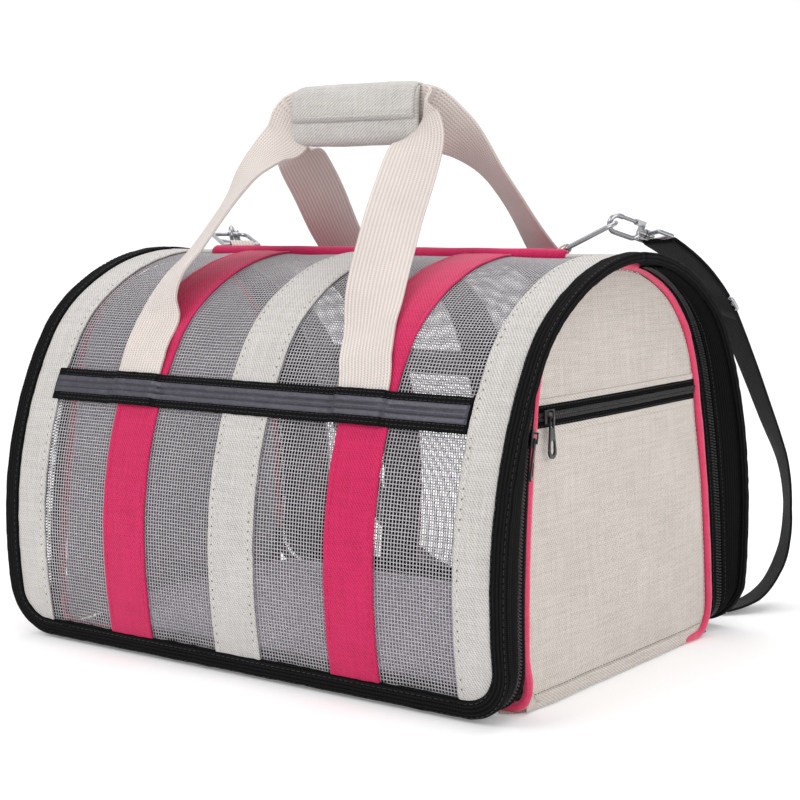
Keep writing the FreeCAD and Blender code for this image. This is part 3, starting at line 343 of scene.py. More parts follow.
def make_reflective():
    m = Mat("reflective_stripe")
    x, y, _ = m.xyz()
    cell = m.put("ShaderNodeTexVoronoi")
    cell.inputs["Scale"].default_value = 0.9
    m.feed(cell.inputs["Vector"], m.vec())
    n = m.noise(0.12, (0.4, 1.0, 1.0), 4.0, 0.6)
    t = m.calc("ADD", m.calc("MULTIPLY", cell.outputs["Distance"], 0.35), m.calc("MULTIPLY", n, 0.65))
    col = m.ramp(t, [(0.2, lin(50, 49, 58)), (0.5, lin(65, 64, 74)), (0.8, lin(86, 85, 96))])
    m.bump(cell.outputs["Distance"], 0.25, 0.12)
    return m.done(col, m.remap(n, 0.3, 0.7, 0.28, 0.5), 0.5, metal=0.35)


REFLECT = make_reflective()


def make_thread(name, a, b):
    m = Mat(name, "object")
    n = m.noise(2.0, detail=2.0)
    return m.done(m.ramp(n, [(0.3, a), (0.7, b)]), 0.7, 0.3, sheen=0.1)


THREAD_CREAM = make_thread("thread_cream", lin(206, 200, 190), lin(226, 222, 214))
THREAD_PINK = make_thread("thread_pink", lin(196, 22, 76), lin(224, 48, 104))
THREAD_BLACK = make_thread("thread_black", lin(16, 16, 18), lin(40, 40, 44))
# dark pegs between stitches: painted shade inside the needle holes, on cream and on pink
HOLE_SHADE = make_thread("needle_hole_shade", lin(88, 80, 72), lin(120, 111, 102))
HOLE_SHADE_PINK = make_thread("needle_hole_shade_pink", lin(168, 16, 62), lin(182, 22, 74))

# ============================================================ geometry of the bag (mm)
HD, ZB = 162.0, 80.0
RL, RS, RH, RT = 346.0, 252.0, 98.55, 170.26
A2, A3 = math.radians(31.248), math.radians(53.869)
C1 = (HD - RL, ZB)
C2 = (HD - RS, ZB)
C3 = (C2[0] + (RS - RH) * math.cos(A2), C2[1] + (RS - RH) * math.sin(A2))
C4 = (C3[0] + (RH - RT) * math.cos(A3), C3[1] + (RH - RT) * math.sin(A3))
PROFILE = [(C1, RL, -0.6, 0.0), (C2, RS, 0.0, A2), (C3, RH, A2, A3), (C4, RT, A3, 1.75)]
ARCH = [((-675.73, 22.44), 796.74, -0.08, 0.2104), ((17.14, 170.41), 88.24, 0.2104, 0.98447), ((-0.05, 144.54), 119.31, 0.98447, 1.75)]


def on(chain, phi, off=0.0):
    phi = np.asarray(phi, float)
    off = np.asarray(off, float)
    y = np.zeros(np.broadcast(phi, off).shape)
    z = np.zeros_like(y)
    done = np.zeros(y.shape, bool)
    for k, (c, r, a, b) in enumerate(chain):
        m = (~done) & ((phi <= b) | (k == len(chain) - 1))
        yy = c[0] + (r + off) * np.cos(phi)
        zz = c[1] + (r + off) * np.sin(phi)
        y = np.where(m, yy, y)
        z = np.where(m, zz, z)
        done = done | m
    return y, z


def bis(fn, target, lo, hi, rising=True):
    for _ in range(60):
        mid = (lo + hi) / 2
        if (fn(mid) < target) == rising:
            lo = mid
        else:
            hi = mid
    return lo


def phi_z(chain, z, off=0.0):
    return bis(lambda f: float(on(chain, f, off)[1]), z, chain[0][2], 1.5)


def phi_y(chain, y, off=0.0):
    return bis(lambda f: float(on(chain, f, off)[0]), y, 0.3, chain[-1][3], rising=False)


V2 = RS * A2
V3 = V2 + RH * (A3 - A2)


def v_of_phi(f):
    f = np.asarray(f, float)
    return np.where(f <= 0, RL * f, np.where(f <= A2, RS * f, np.where(f <= A3, V2 + RH * (f - A2), V3 + RT * (f - A3))))


def phi_of_v(v):
    v = np.asarray(v, float)
    return np.where(v <= 0, v / RL, np.where(v <= V2, v / RS, np.where(v <= V3, A2 + (v - V2) / RH, A3 + (v - V3) / RT)))


def vz(z, off=0.0):
    return float(v_of_phi(phi_z(PROFILE, z, off)))


def vy(y, off=0.0):
    return float(v_of_phi(phi_y(PROFILE, y, off)))


def pm(x, v, n, s):
    """panel space (x, length along the outline, height off the binding's outer face) to millimetres"""
    x, v, n = np.broadcast_arrays(np.asarray(x, float), np.asarray(v, float), np.asarray(n, float))
    y, z = on(PROFILE, phi_of_v(v), n)
    return np.stack([x, s * y, z], -1)


END_FOOT, END_TAN = 197.8, math.tan(math.radians(1.82))


def end_x(z):
    return END_FOOT - (np.asarray(z, float) - 10.0) * END_TAN


# ============================================================ mesh helpers
def build(name, verts, faces, uvs=None, mat=None, body="root", slot=None, replaces=(), smooth=True, extra_mats=(), mat_index=None,
          fix=True):
    me = bpy.data.meshes.new(name)
    verts = np.asarray(verts, float).reshape(-1, 3)
    me.from_pydata((verts * MM).tolist(), [], [tuple(int(i) for i in f) for f in faces])
    if uvs is not None:
        uvs = np.asarray(uvs, float).reshape(-1, 2)
        lay = me.uv_layers.new(name="mm")
        idx = np.zeros(len(me.loops), np.int64)
        me.loops.foreach_get("vertex_index", idx)
        lay.data.foreach_set("uv", uvs[idx].astype(np.float32).ravel())
    for m in [mat, *extra_mats]:
        if m is not None:
            me.materials.append(m)
    if mat_index is not None:
        me.polygons.foreach_set("material_index", np.asarray(mat_index, np.int32))
    if fix:
        bm = bmesh.new()
        bm.from_mesh(me)
        bmesh.ops.recalc_face_normals(bm, faces=bm.faces)
        bm.to_mesh(me)
        bm.free()
    me.polygons.foreach_set("use_smooth", [smooth] * len(me.polygons))
    me.update()
    ob = bpy.data.objects.new(name, me)
    bpy.context.scene.collection.objects.link(ob)
    if body:
        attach(ob, body)
    if replaces:
        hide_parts(*([replaces] if isinstance(replaces, str) else replaces))
    return ob


def grid_faces(n, m, close_m=True, base=0, close_n=False):
    i = np.arange(n if close_n else n - 1)
    j = np.arange(m if close_m else m - 1)
    I, J = np.meshgrid(i, j, indexing="ij")
    I2, J2 = (I + 1) % n, (J + 1) % m
    f = np.stack([I * m + J, I * m + J2, I2 * m + J2, I2 * m + J], -1).reshape(-1, 4) + base
    return f


def sweep(name, secs, sec_u=None, path_v=None, caps=True, closed=False, **kw):
    """secs: (N, M, 3); a closed section carried along a path"""
    secs = np.asarray(secs, float)
    n, m, _ = secs.shape
    if sec_u is None:
        d = np.linalg.norm(np.diff(secs[n // 2], axis=0), axis=1)
        sec_u = np.concatenate([[0], np.cumsum(d)])
    if path_v is None:
        c = secs.mean(axis=1)
        path_v = np.concatenate([[0], np.cumsum(np.linalg.norm(np.diff(c, axis=0), axis=1))])
    uv = np.stack(np.broadcast_arrays(np.asarray(sec_u)[None, :], np.asarray(path_v)[:, None]), -1).reshape(-1, 2)
    faces = [tuple(f) for f in grid_faces(n, m, True, 0, closed)]
    if caps and not closed:
        faces.append(tuple(range(m))[::-1])
        faces.append(tuple((n - 1) * m + k for k in range(m)))
    return build(name, secs.reshape(-1, 3), faces, uv, **kw)


def catmull(pts, per=8, closed=False):
    """smooth line through points, centripetal"""
    p = np.asarray(pts, float)
    n = len(p)
    if closed:
        ext = np.vstack([p[-1], p, p[0], p[1]])
        segs = n
    else:
        ext = np.vstack([2 * p[0] - p[1], p, 2 * p[-1] - p[-2]])
        segs = n - 1
    out = []
    for i in range(segs):
        a, b, c, d = ext[i:i + 4]
        t0 = 0.0
        t1 = t0 + max(np.linalg.norm((b - a)[:3]), 1e-6) ** 0.5
        t2 = t1 + max(np.linalg.norm((c - b)[:3]), 1e-6) ** 0.5
        t3 = t2 + max(np.linalg.norm((d - c)[:3]), 1e-6) ** 0.5
        for t in np.linspace(t1, t2, per, endpoint=False):
            a1 = a * (t1 - t) / (t1 - t0) + b * (t - t0) / (t1 - t0)
            a2 = b * (t2 - t) / (t2 - t1) + c * (t - t1) / (t2 - t1)
            a3 = c * (t3 - t) / (t3 - t2) + d * (t - t2) / (t3 - t2)
            b1 = a1 * (t2 - t) / (t2 - t0) + a2 * (t - t0) / (t2 - t0)
            b2 = a2 * (t3 - t) / (t3 - t1) + a3 * (t - t1) / (t3 - t1)
            out.append(b1 * (t2 - t) / (t2 - t1) + b2 * (t - t1) / (t2 - t1))
    if not closed:
        out.append(p[-1])
    return A(out)


def unit(v):
    v = np.asarray(v, float)
    return v / np.maximum(np.linalg.norm(v, axis=-1, keepdims=True), 1e-9)


def waves(seed, n=4, lo=0.01, hi=0.06):
    r = np.random.default_rng(seed)
    k = r.uniform(lo, hi, (n, 2)) * r.choice([-1, 1], (n, 2))
    ph = r.uniform(0, 6.28, n)
    am = r.uniform(0.5, 1.0, n)
    am /= am.sum()

    def f(x, y):
        x, y = np.asarray(x, float), np.asarray(y, float)
        return sum(a * np.sin(2 * math.pi * (kk[0] * x + kk[1] * y) + p) for a, kk, p in zip(am, k, ph))
    return f


def tape_section(w, t, fold=0.7, crown=0.12):
    """(across, height) of a flat tape or folded strip: rounded folded edges, slightly raised over the fold"""
    top = [(-w, 0.42 * t), (-w + 0.12, 0.75 * t), (-w + 0.45, 0.97 * t), (-w + 1.1, 1.06 * t), (-w + 2.6, 1.04 * t), (-w + 4.4, 0.96 * t),
           (-w * 0.45, (1.0 + crown * 0.5) * t), (0, (1.0 + crown) * t)]
    if w < 5:
        top = [(-w, 0.42 * t), (-w + 0.12, 0.75 * t), (-w + 0.45, 0.97 * t), (-w * 0.5, (1.0 + crown * 0.5) * t), (0, (1.0 + crown) * t)]
    right = [(-x, y) for x, y in top[:-1]][::-1]
    bottom = [(w - 0.2, 0.1 * t), (w * 0.5, 0.0), (-w * 0.5, 0.0), (-w + 0.2, 0.1 * t)]
    return A(top + right + bottom)


def path_frame(xv):
    t = unit(np.gradient(xv, axis=0))
    return t, np.stack([t[:, 1], -t[:, 0]], -1)


def panel_tape(name, xv, sec, n0, s, wob=0.0, edge=0.0, seed=1, lift=None, **kw):
    """a tape along a line of panel space"""
    xv = np.asarray(xv, float)
    t, nn = path_frame(xv)
    ln = np.concatenate([[0], np.cumsum(np.linalg.norm(np.diff(xv, axis=0), axis=1))])
    f, g = waves(seed), waves(seed + 50, 5, 0.02, 0.12)
    c = sec[:, 0][None, :]
    h = sec[:, 1][None, :]
    ce = c + edge * g(ln[:, None] + 0 * c, np.sign(c) * 30.0 + 0 * ln[:, None]) * np.abs(c) / max(np.abs(sec[:, 0]).max(), 1e-6)
    x = xv[:, None, 0] + nn[:, None, 0] * ce
    v = xv[:, None, 1] + nn[:, None, 1] * ce
    n = n0 + h + wob * f(x, v)
    if lift is not None:
        n = n + lift(x, v)
    u = np.concatenate([[0], np.cumsum(np.linalg.norm(np.diff(sec, axis=0), axis=1))])
    return sweep(name, pm(x, v, n, s), u, ln, **kw)


STITCH_RING = A([(math.cos(a), math.sin(a)) for a in np.linspace(0, 2 * math.pi, 6, endpoint=False)])


def beads(name, centres, along, up, length, width, height, mat, shape=((-0.5, 0.45), (-0.32, 1.0), (0.32, 1.0), (0.5, 0.45)), **kw):
    """small rounded pegs: stitches, coil teeth, and dark pegs of painted shade in needle holes"""
    centres, along, up = np.asarray(centres, float), unit(along), np.asarray(up, float)
    up = unit(up - along * (up * along).sum(-1, keepdims=True))
    side = np.cross(along, up)
    k, m = len(shape), len(STITCH_RING)
    vs = []
    for t, r in shape:
        for a, b in STITCH_RING:
            vs.append(centres + along * (t * length) + side * (a * r * width / 2) + up * (b * r * height / 2))
    vs = np.stack(vs, 1)
    base = [tuple(f) for f in grid_faces(k, m, True)] + [tuple(range(m))[::-1], tuple((k - 1) * m + j for j in range(m))]
    n = len(centres)
    quads = np.concatenate([A(base[:-2])[None] + (np.arange(n) * k * m)[:, None, None]]).reshape(-1, 4)
    caps = np.concatenate([A(base[-2:])[None] + (np.arange(n) * k * m)[:, None, None]]).reshape(-1, m)
    return build(name, vs.reshape(-1, 3), [tuple(f) for f in quads] + [tuple(f) for f in caps], None, mat=mat, fix=False, **kw)


def resample(p, step, start=0.0, jitter=0.0):
    p = np.asarray(p, float)
    d = np.concatenate([[0], np.cumsum(np.linalg.norm(np.diff(p, axis=0), axis=1))])
    n = max(int((d[-1] - start) / step), 1)
    q = start + np.arange(n + 1) * step
    q = q[q <= d[-1]]
    if jitter:
        q = q + RNG.uniform(-jitter, jitter, len(q))
        q = np.clip(q, 0, d[-1])
    return np.stack([np.interp(q, d, p[:, k]) for k in range(p.shape[1])], -1)


def panel_stitches(name, xv, off, n0, s, pitch, length, mat, hole_shade=None, width=0.55, height=0.5, body="root", lift=None, slot=None):
    xv = np.asarray(xv, float)
    t, nn = path_frame(xv)
    line = xv + nn * off
    c = resample(line, pitch, pitch * 0.5, 0.12)
    ct = unit(np.gradient(c, axis=0))
    ll = lift(c[:, 0], c[:, 1]) if lift is not None else 0.0
    p = pm(c[:, 0], c[:, 1], n0 + ll, s)
    q = pm(c[:, 0] + ct[:, 0] * 0.5, c[:, 1] + ct[:, 1] * 0.5, n0 + ll, s)
    up = pm(c[:, 0], c[:, 1], n0 + ll + 1.0, s) - p
    beads(name, p, q - p, up, length, width, height, mat, body=body, slot=slot)
    # dark pegs of painted shade in the needle holes between the stitches
    if hole_shade is not None:
        h = c + ct * pitch * 0.5
        ll = lift(h[:, 0], h[:, 1]) if lift is not None else 0.0
        p = pm(h[:, 0], h[:, 1], n0 + ll, s)
        q = pm(h[:, 0] + ct[:, 0] * 0.5, h[:, 1] + ct[:, 1] * 0.5, n0 + ll, s)
        up = pm(h[:, 0], h[:, 1], n0 + ll + 1.0, s) - p
        beads(name + "_hole_shades", p, q - p, up, 1.15, 0.95, 0.22, hole_shade, body=body, slot=slot)


# ============================================================ shoulder strap
ROUTE = [(184.65, 69.52, 278.24), (194, 119, 258), (197.5, 171, 199), (200.5, 213, 142), (200.5, 242.6, 106.8), (200.5, 251.9, 74.1),
         (200.5, 247.9, 45.4), (198.2, 232, 22.2), (190.5, 209.5, 6.5), (175.2, 187.7, 1.4), (150.9, 173.6, 1.3),
         (121.9, 167, 1.3), (80, 168, 1.3), (30, 171.5, 1.3), (-16, 176, 1.3), (-56, 183, 1.3), (-88, 191, 2.6),
         (-128, 198, 21), (-156, 199, 58), (-172, 192, 104), (-181, 178, 154), (-187, 155, 202), (-191, 114, 244.5),
         (-188.36, 70.37, 269.63)]
WIDTHS = [(1, 0, 0), (0.93, -0.36, 0), (0.84, -0.54, 0), (0.76, -0.64, 0), (0.64, -0.76, 0), (0.58, -0.81, 0.02), (0.62, -0.72, 0.2), (0.74, -0.45, 0.42),
          (0.84, -0.42, 0.2), (0.56, -0.83, 0.04), (0.25, -0.97, 0), (0.05, -1, 0), (0, -1, 0), (0, -1, 0), (0, -1, 0), (0, -1, 0),
          (-0.02, -1, 0), (-0.05, -1, 0), (-0.15, -1, 0), (-0.4, -0.9, 0), (-0.7, -0.7, 0), (-0.9, -0.4, 0), (-1, -0.1, 0), (-1, 0, 0)]


def nurbs_line(points, res=10):
    cu = bpy.data.curves.new("strap_line", "CURVE")
    cu.dimensions = "3D"
    cu.resolution_u = res
    sp = cu.splines.new("NURBS")
    sp.points.add(len(points) - 1)
    for p, q in zip(sp.points, points):
        p.co = (q[0] * MM, q[1] * MM, q[2] * MM, 1.0)
    sp.order_u = 3
    sp.use_endpoint_u = True
    ob = bpy.data.objects.new("strap_line", cu)
    bpy.context.scene.collection.objects.link(ob)
    bpy.context.view_layer.update()
    me = bpy.data.meshes.new_from_object(ob)
    out = A([v.co for v in me.vertices])
    bpy.data.objects.remove(ob)
    bpy.data.curves.remove(cu)
    bpy.data.meshes.remove(me)
    return out


def ribbon_rows(p, w, half, thick, edge=1.0):
    """sections of flat webbing along points p (mm) with width directions w"""
    t = unit(np.gradient(p, axis=0))
    w = unit(w - t * (w * t).sum(-1, keepdims=True))
    n = np.cross(t, w)
    h = half
    sec = A([(-h, 0), (-h + 0.1, 0.36), (-h + 0.6, 0.52), (-h + 2.0, 0.5), (-h * 0.5, 0.47), (0, 0.46), (h * 0.5, 0.47), (h - 2.0, 0.5),
             (h - 0.6, 0.52), (h - 0.1, 0.36), (h, 0), (h - 0.1, -0.36), (h - 0.6, -0.52), (h - 2.0, -0.5), (h * 0.5, -0.47), (0, -0.46),
             (-h * 0.5, -0.47), (-h + 2.0, -0.5), (-h + 0.6, -0.52), (-h + 0.1, -0.36)])
    rows = p[:, None, :] + w[:, None, :] * sec[None, :, 0, None] + n[:, None, :] * (sec[None, :, 1, None] * thick)
    return rows, t, w, n


def spread(keys, at, fr):
    return np.stack([np.interp(fr, at, keys[:, k]) for k in range(keys.shape[1])], -1)


def make_strap():
    line = nurbs_line(ROUTE) / MM
    d = np.concatenate([[0], np.cumsum(np.linalg.norm(np.diff(line, axis=0), axis=1))])
    at = A([d[np.argmin(np.linalg.norm(line - A(r, float), axis=1))] for r in ROUTE])
    at = np.maximum.accumulate(at + np.arange(len(at)) * 1e-6)
    w = spread(unit(A(WIDTHS, float)), at, d)
    rows, t, wd, n = ribbon_rows(line, w, 12.5, 1.7)
    ob = sweep("shoulder_strap_web", rows, None, d, mat=STRAP, slot="black_webbing", replaces="shoulder_strap")
    # the strap's end passes round the loop's bar and back to the adjuster
    up = n * np.sign((n * A([0, 0, 1.0])).sum(-1, keepdims=True) + 1e-9)
    for name, rev, upto in (("right", False, 99.0), ("left", True, 34.0)):
        idx = np.arange(len(line))
        dd = d if not rev else d[-1] - d
        keep = idx[dd <= upto]
        if rev:
            keep = keep[::-1]
        gap = 2.6 * np.clip(1 - (dd[keep] - upto * 0.55) / (upto * 0.45), 0.62, 1.0)
        pts = line[keep] - up[keep] * gap[:, None]
        tt = t[keep[0]] * (-1 if rev else 1)
        c = line[keep[0]] - up[keep[0]] * 1.3
        arc = [c + up[keep[0]] * 1.3 * math.cos(a) - tt * 2.9 * math.sin(a) for a in np.linspace(0.15, math.pi - 0.15, 9)]
        full = np.vstack([A(arc), pts])
        ww = np.vstack([np.repeat(wd[keep[:1]], 9, 0), wd[keep]])
        r2, *_ = ribbon_rows(full, ww, 12.5, 1.6)
        f = sweep("strap_fold_" + name, r2, mat=STRAP, slot="black_webbing", body="root")
    return line, d, t, wd, up


def tube(name, pts, r, mat, sides=12, closed=False, **kw):
    p = np.asarray(pts, float)
    t = unit(np.gradient(p, axis=0)) if not closed else unit(np.roll(p, -1, 0) - np.roll(p, 1, 0))
    ref = A([0, 0, 1.0]) if abs(t[0][2]) < 0.9 else A([1.0, 0, 0])
    us = []
    u = unit(np.cross(ref, t[0]))
    for k in range(len(p)):
        u = unit(u - t[k] * np.dot(u, t[k]))
        us.append(u)
    us = A(us)
    vs = np.cross(t, us)
    a = np.linspace(0, 2 * math.pi, sides, endpoint=False)
    rr = np.broadcast_to(np.asarray(r, float), (len(p),))
    rows = p[:, None, :] + rr[:, None, None] * (us[:, None, :] * np.cos(a)[None, :, None] + vs[:, None, :] * np.sin(a)[None, :, None])
    return sweep(name, rows, closed=closed, mat=mat, **kw)


def make_adjuster(line, d, t, wd, up):
    """three-bar slide: one bent wire frame with a middle bar"""
    lo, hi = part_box("strap_adjuster")
    c = (A(lo) + A(hi)) / 2 / MM
    k = int(np.argmin(np.linalg.norm(line - c, axis=1)))
    k = max(k - int(round(13.0 / float(np.linalg.norm(line[k] - line[k - 1])))), 2)
    c = line[k] - up[k] * 0.9
    X, Y, Z = wd[k], t[k], up[k]
    parts = []
    hw, hl, r = 15.0, 5.8, 1.25
    rect = []
    for cx, cy, a0 in ((hw - 2, hl - 2, 0), (-hw + 2, hl - 2, 90), (-hw + 2, -hl + 2, 180), (hw - 2, -hl + 2, 270)):
        for a in np.linspace(a0, a0 + 90, 6):
            rect.append((cx + 2 * math.cos(math.radians(a)), cy + 2 * math.sin(math.radians(a))))
    ring = A([c + X * a + Y * b for a, b in rect])
    f = tube("adjuster_slide", ring, r, CHROME, 10, closed=True, slot="bright_metal", replaces="strap_adjuster")
    bar = tube("adjuster_bar", A([c + X * a - Z * 0.2 for a in np.linspace(-hw, hw, 8)]), 1.15, CHROME, 10, slot="bright_metal")
    bar.parent = f
    return f





def strap_all():
    line = nurbs_line(ROUTE) / MM
    d = np.concatenate([[0], np.cumsum(np.linalg.norm(np.diff(line, axis=0), axis=1))])
    at = A([d[np.argmin(np.linalg.norm(line - A(r, float), axis=1))] for r in ROUTE])
    at = np.maximum.accumulate(at + np.arange(len(at)) * 1e-6)
    w = spread(unit(A(WIDTHS, float)), at, d)
    rows, t, wd, n = ribbon_rows(line, w, 12.5, 1.7)
    up = n * np.sign((n * A([0, 0, 1.0])).sum(-1, keepdims=True) + 1e-9)
    make_adjuster(line, d, t, wd, up)
    make_strap()


strap_all()

# ============================================================ long panels
SKIN_T = 0.8
NET_N = -3.5
V_BOT = vz(9.0, -3.5)
V_TOP = vy(4.9, -3.0)
V_APEX = vy(0.25, -1.0)
BODY = {"front": "front_panel", "rear": "root"}
SIGN = {"front": -1, "rear": 1}
BAYS = [(-173.0, -113.5), (-76.5, -18.5), (18.5, 76.5), (113.5, 173.0)]
FEET = {"front": (90.0, -100.5), "rear": (95.0, -95.0)}


def smooth(x):
    x = np.clip(x, 0, 1)
    return x * x * (3 - 2 * x)


def foot_lift(side):
    def f(x, v):
        x = np.asarray(x, float)
        k = 0
        for c in FEET[side]:
            k = k + smooth((21.5 - np.abs(x - c)) / 3.5)
        return 2.1 * np.clip(k, 0, 1)
    return f


V_BL, V_BH = vz(168.5), vz(191.5)


def lattice(name, x0, x1, v0, v1, s, seed, body, replaces=()):
    pitch, w, t = 2.36, 0.57, 0.38
    f = waves(seed, 5, 0.004, 0.02)
    g = waves(seed + 7, 5, 0.01, 0.05)

    def pos(x, v, cx, cv, cn):
        k = (x - x0) / (x1 - x0)
        inner = np.sin(math.pi * np.clip(k, 0, 1))
        n = NET_N - SKIN_T / 2 + cn - 1.1 * inner * (0.7 + 0.5 * f(x, v))
        return pm(x + cx + 0.22 * g(x, v) * inner, v + cv + 0.25 * g(v, x) * inner, n, s)
    corners = A([(-1, -1), (1, -1), (1, 1), (-1, 1)]) * 0.5
    verts, faces, base = [], [], 0
    xs = np.arange(x0 + 0.6, x1 - 0.3, pitch)
    vv = np.linspace(v0, v1, max(int((v1 - v0) / 7.0), 8))
    X = xs[:, None, None] + 0 * vv[None, :, None]
    P = pos(X, vv[None, :, None] + 0 * X, corners[None, None, :, 0] * w, 0.0, corners[None, None, :, 1] * t)
    K, N = len(xs), len(vv)
    verts.append(P.reshape(-1, 3))
    gf = grid_faces(N, 4, True)
    faces.append((gf[None] + (np.arange(K) * N * 4)[:, None, None]).reshape(-1, 4))
    caps = A([[3, 2, 1, 0], [(N - 1) * 4, (N - 1) * 4 + 1, (N - 1) * 4 + 2, (N - 1) * 4 + 3]])
    faces.append((caps[None] + (np.arange(K) * N * 4)[:, None, None]).reshape(-1, 4))
    base = K * N * 4
    vs = np.arange(v0 + 0.5, v1 - 0.2, pitch)
    xx = np.linspace(x0, x1, 13)
    Vv = vs[:, None, None] + 0 * xx[None, :, None]
    P = pos(xx[None, :, None] + 0 * Vv, Vv, 0.0, corners[None, None, :, 0] * w, corners[None, None, :, 1] * t * 0.86 + 0.02)
    K, N = len(vs), len(xx)
    verts.append(P.reshape(-1, 3))
    gf = grid_faces(N, 4, True)
    faces.append((gf[None] + (np.arange(K) * N * 4)[:, None, None]).reshape(-1, 4) + base)
    caps = A([[3, 2, 1, 0], [(N - 1) * 4, (N - 1) * 4 + 1, (N - 1) * 4 + 2, (N - 1) * 4 + 3]])
    faces.append((caps[None] + (np.arange(K) * N * 4)[:, None, None]).reshape(-1, 4) + base)
    f2 = np.vstack(faces)
    ob = build(name, np.vstack(verts), [tuple(q) for q in f2], None, mat=NETMAT, body=body, slot="netting", replaces=replaces, fix=False)
    return ob


def col_path(x, va, vb, step=4.0):
    v = np.linspace(va, vb, max(int(abs(vb - va) / step), 3))
    return np.stack([np.full_like(v, x), v], -1)


def row_path(v, xa, xb, step=4.0):
    x = np.linspace(xa, xb, max(int(abs(xb - xa) / step), 3))
    return np.stack([x, np.full_like(x, v)], -1)


def make_strip(side, name, x, half, mat, thread, hole_shade, apex, seed, body, blend):
    s = SIGN[side]
    top = V_APEX if apex else V_TOP
    p = col_path(x, V_BOT, top)

    def lift(xx, vv):
        if not apex:
            return 0.0 * xx
        return 1.0 * smooth((181.0 - np.abs(xx)) / 5.0) * smooth((15.5 - np.abs(vv - (V_BL + V_BH) / 2)) / 4.0)
    kw = dict(body=None if blend else body, slot="pink_fabric" if mat is PINK else "cream_canvas", mat=mat)
    ob = panel_tape(side + "_" + name, p, tape_section(half, 1.4), NET_N, s, wob=0.22, edge=0.35, seed=seed, lift=lift,
                    replaces=side + "_" + name, **kw)
    if blend:
        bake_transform(ob)
    # backing behind the strip, coloured dark as painted shade of the unlit inner face
    panel_tape(side + "_" + name + "_backing", col_path(x, V_BOT, V_TOP - 1.0), tape_section(half - 0.6, 0.4, crown=0.0), NET_N - 0.55, s, wob=0.22,
               edge=0.2, seed=seed, mat=BACKING_SHADE, body=body, slot="grey_fabric")
    sb = body
    q = col_path(x, V_BOT + 6, vy(9.0, -3.0))
    offs = (-(half - 3.4), half - 3.4)
    for k, o in enumerate(offs):
        if apex and k == (1 if x > 0 else 0) and False:
            continue
        # keep only the rows that aren't hidden under the binding
        if apex and abs(x + o) > 194:
            continue
        panel_stitches("%s_%s_stitch_%d" % (side, name, k), q, o, NET_N + 1.42, s, 6.0, 3.6, thread, hole_shade, body=sb, lift=lift)
    return ob


def make_panel(side):
    s, body = SIGN[side], BODY[side]
    first = True
    nets = []
    for k, (a, b) in enumerate(BAYS):
        o = lattice("%s_net_bay_%d" % (side, k), a, b, V_BOT, V_TOP, s, 31 + k + (10 if s > 0 else 0), body,
                    replaces=side + "_net" if k == 0 else ())
        nets.append(o)
    make_strip(side, "centre_cream_strip", 0.0, 19.0, CREAM_STRIP, THREAD_CREAM, HOLE_SHADE, False, 3, body, False)
    make_strip(side, "right_pink_strip", 95.0, 19.0, PINK, THREAD_PINK, HOLE_SHADE_PINK, False, 4, body, False)
    make_strip(side, "left_pink_strip", -95.0, 19.0, PINK, THREAD_PINK, HOLE_SHADE_PINK, False, 5, body, False)
    make_strip(side, "right_cream_strip", 185.0, 13.2, CREAM_STRIP, THREAD_CREAM, HOLE_SHADE, True, 6, body, s < 0)
    make_strip(side, "left_cream_strip", -185.0, 13.2, CREAM_STRIP, THREAD_CREAM, HOLE_SHADE, True, 7, body, s < 0)
    lift = foot_lift(side)
    vm = (V_BL + V_BH) / 2
    panel_tape(side + "_band", row_path(vm, -176.5, 171.5 if s < 0 else 176.5, 2.5), tape_section(11.5, 1.5, crown=0.02), -2.1, s, wob=0.15, edge=0.25, seed=11,
               lift=lift, mat=BAND, body=body, slot="black_tape", replaces=side + "_band")
    panel_tape(side + "_reflective_stripe", row_path(vm, -175.5, 170.5 if s < 0 else 175.5, 2.5), tape_section(6.0, 0.45, crown=0.0) * A([1, 1]), -0.62, s, wob=0.15,
               edge=0.1, seed=11, lift=lift, mat=REFLECT, body=body, slot="reflective_stripe", replaces=side + "_reflective_stripe")
    for o in (-9.4, 9.4, -6.9, 6.9):
        panel_stitches("%s_band_stitch_%d" % (side, int(o * 10)), row_path(vm, -170, 170, 3.0), o, -0.5, s, 3.4, 2.5, THREAD_BLACK, None,
                       width=0.5, height=0.45, body=body, lift=lift)
    # binding: folded tape round the whole window
    vb = vz(7.6)
    rc, xc = 28.0, 204.0
    left = [(-xc, v) for v in np.arange(V_APEX, vb + rc, -4.0)]
    arc1 = [(-xc + rc - rc * math.cos(a), vb + rc - rc * math.sin(a)) for a in np.linspace(0, math.pi / 2, 15)]
    bot = [(x, vb) for x in np.linspace(-xc + rc, xc - rc, 90)[1:-1]]
    arc2 = [(xc - rc + rc * math.sin(a), vb + rc - rc * math.cos(a)) for a in np.linspace(0, math.pi / 2, 15)]
    path = A(left + arc1 + bot + arc2 + [(x * -1, v) for x, v in left[::-1]])
    sec = A([(-6.0, 1.2), (-6.1, 3.0), (-5.95, 4.9), (-5.3, 6.05), (-4.1, 6.45), (-2.4, 6.3), (0, 6.2), (2.4, 6.3), (4.1, 6.45), (5.3, 6.05),
             (5.95, 4.9), (6.1, 3.0), (6.0, 1.2), (5.2, 0.15), (3, 0), (0, 0), (-3, 0), (-5.2, 0.15)])
    ob = panel_tape(side + "_binding", path, sec, -6.5, s, wob=0.28, edge=0.35, seed=21 + s, mat=BINDING, body=None if s < 0 else body,
                    slot="black_tape", replaces=side + "_binding")
    if s < 0:
        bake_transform(ob)
    inner = path[8:-8]
    for o in (-4.3, 4.3):
        panel_stitches("%s_binding_stitch_%d" % (side, int(o)), inner, o, -0.12, s, 4.2, 3.0, THREAD_BLACK, None, width=0.55, height=0.5,
                       body=body)


make_panel("front")
make_panel("rear")


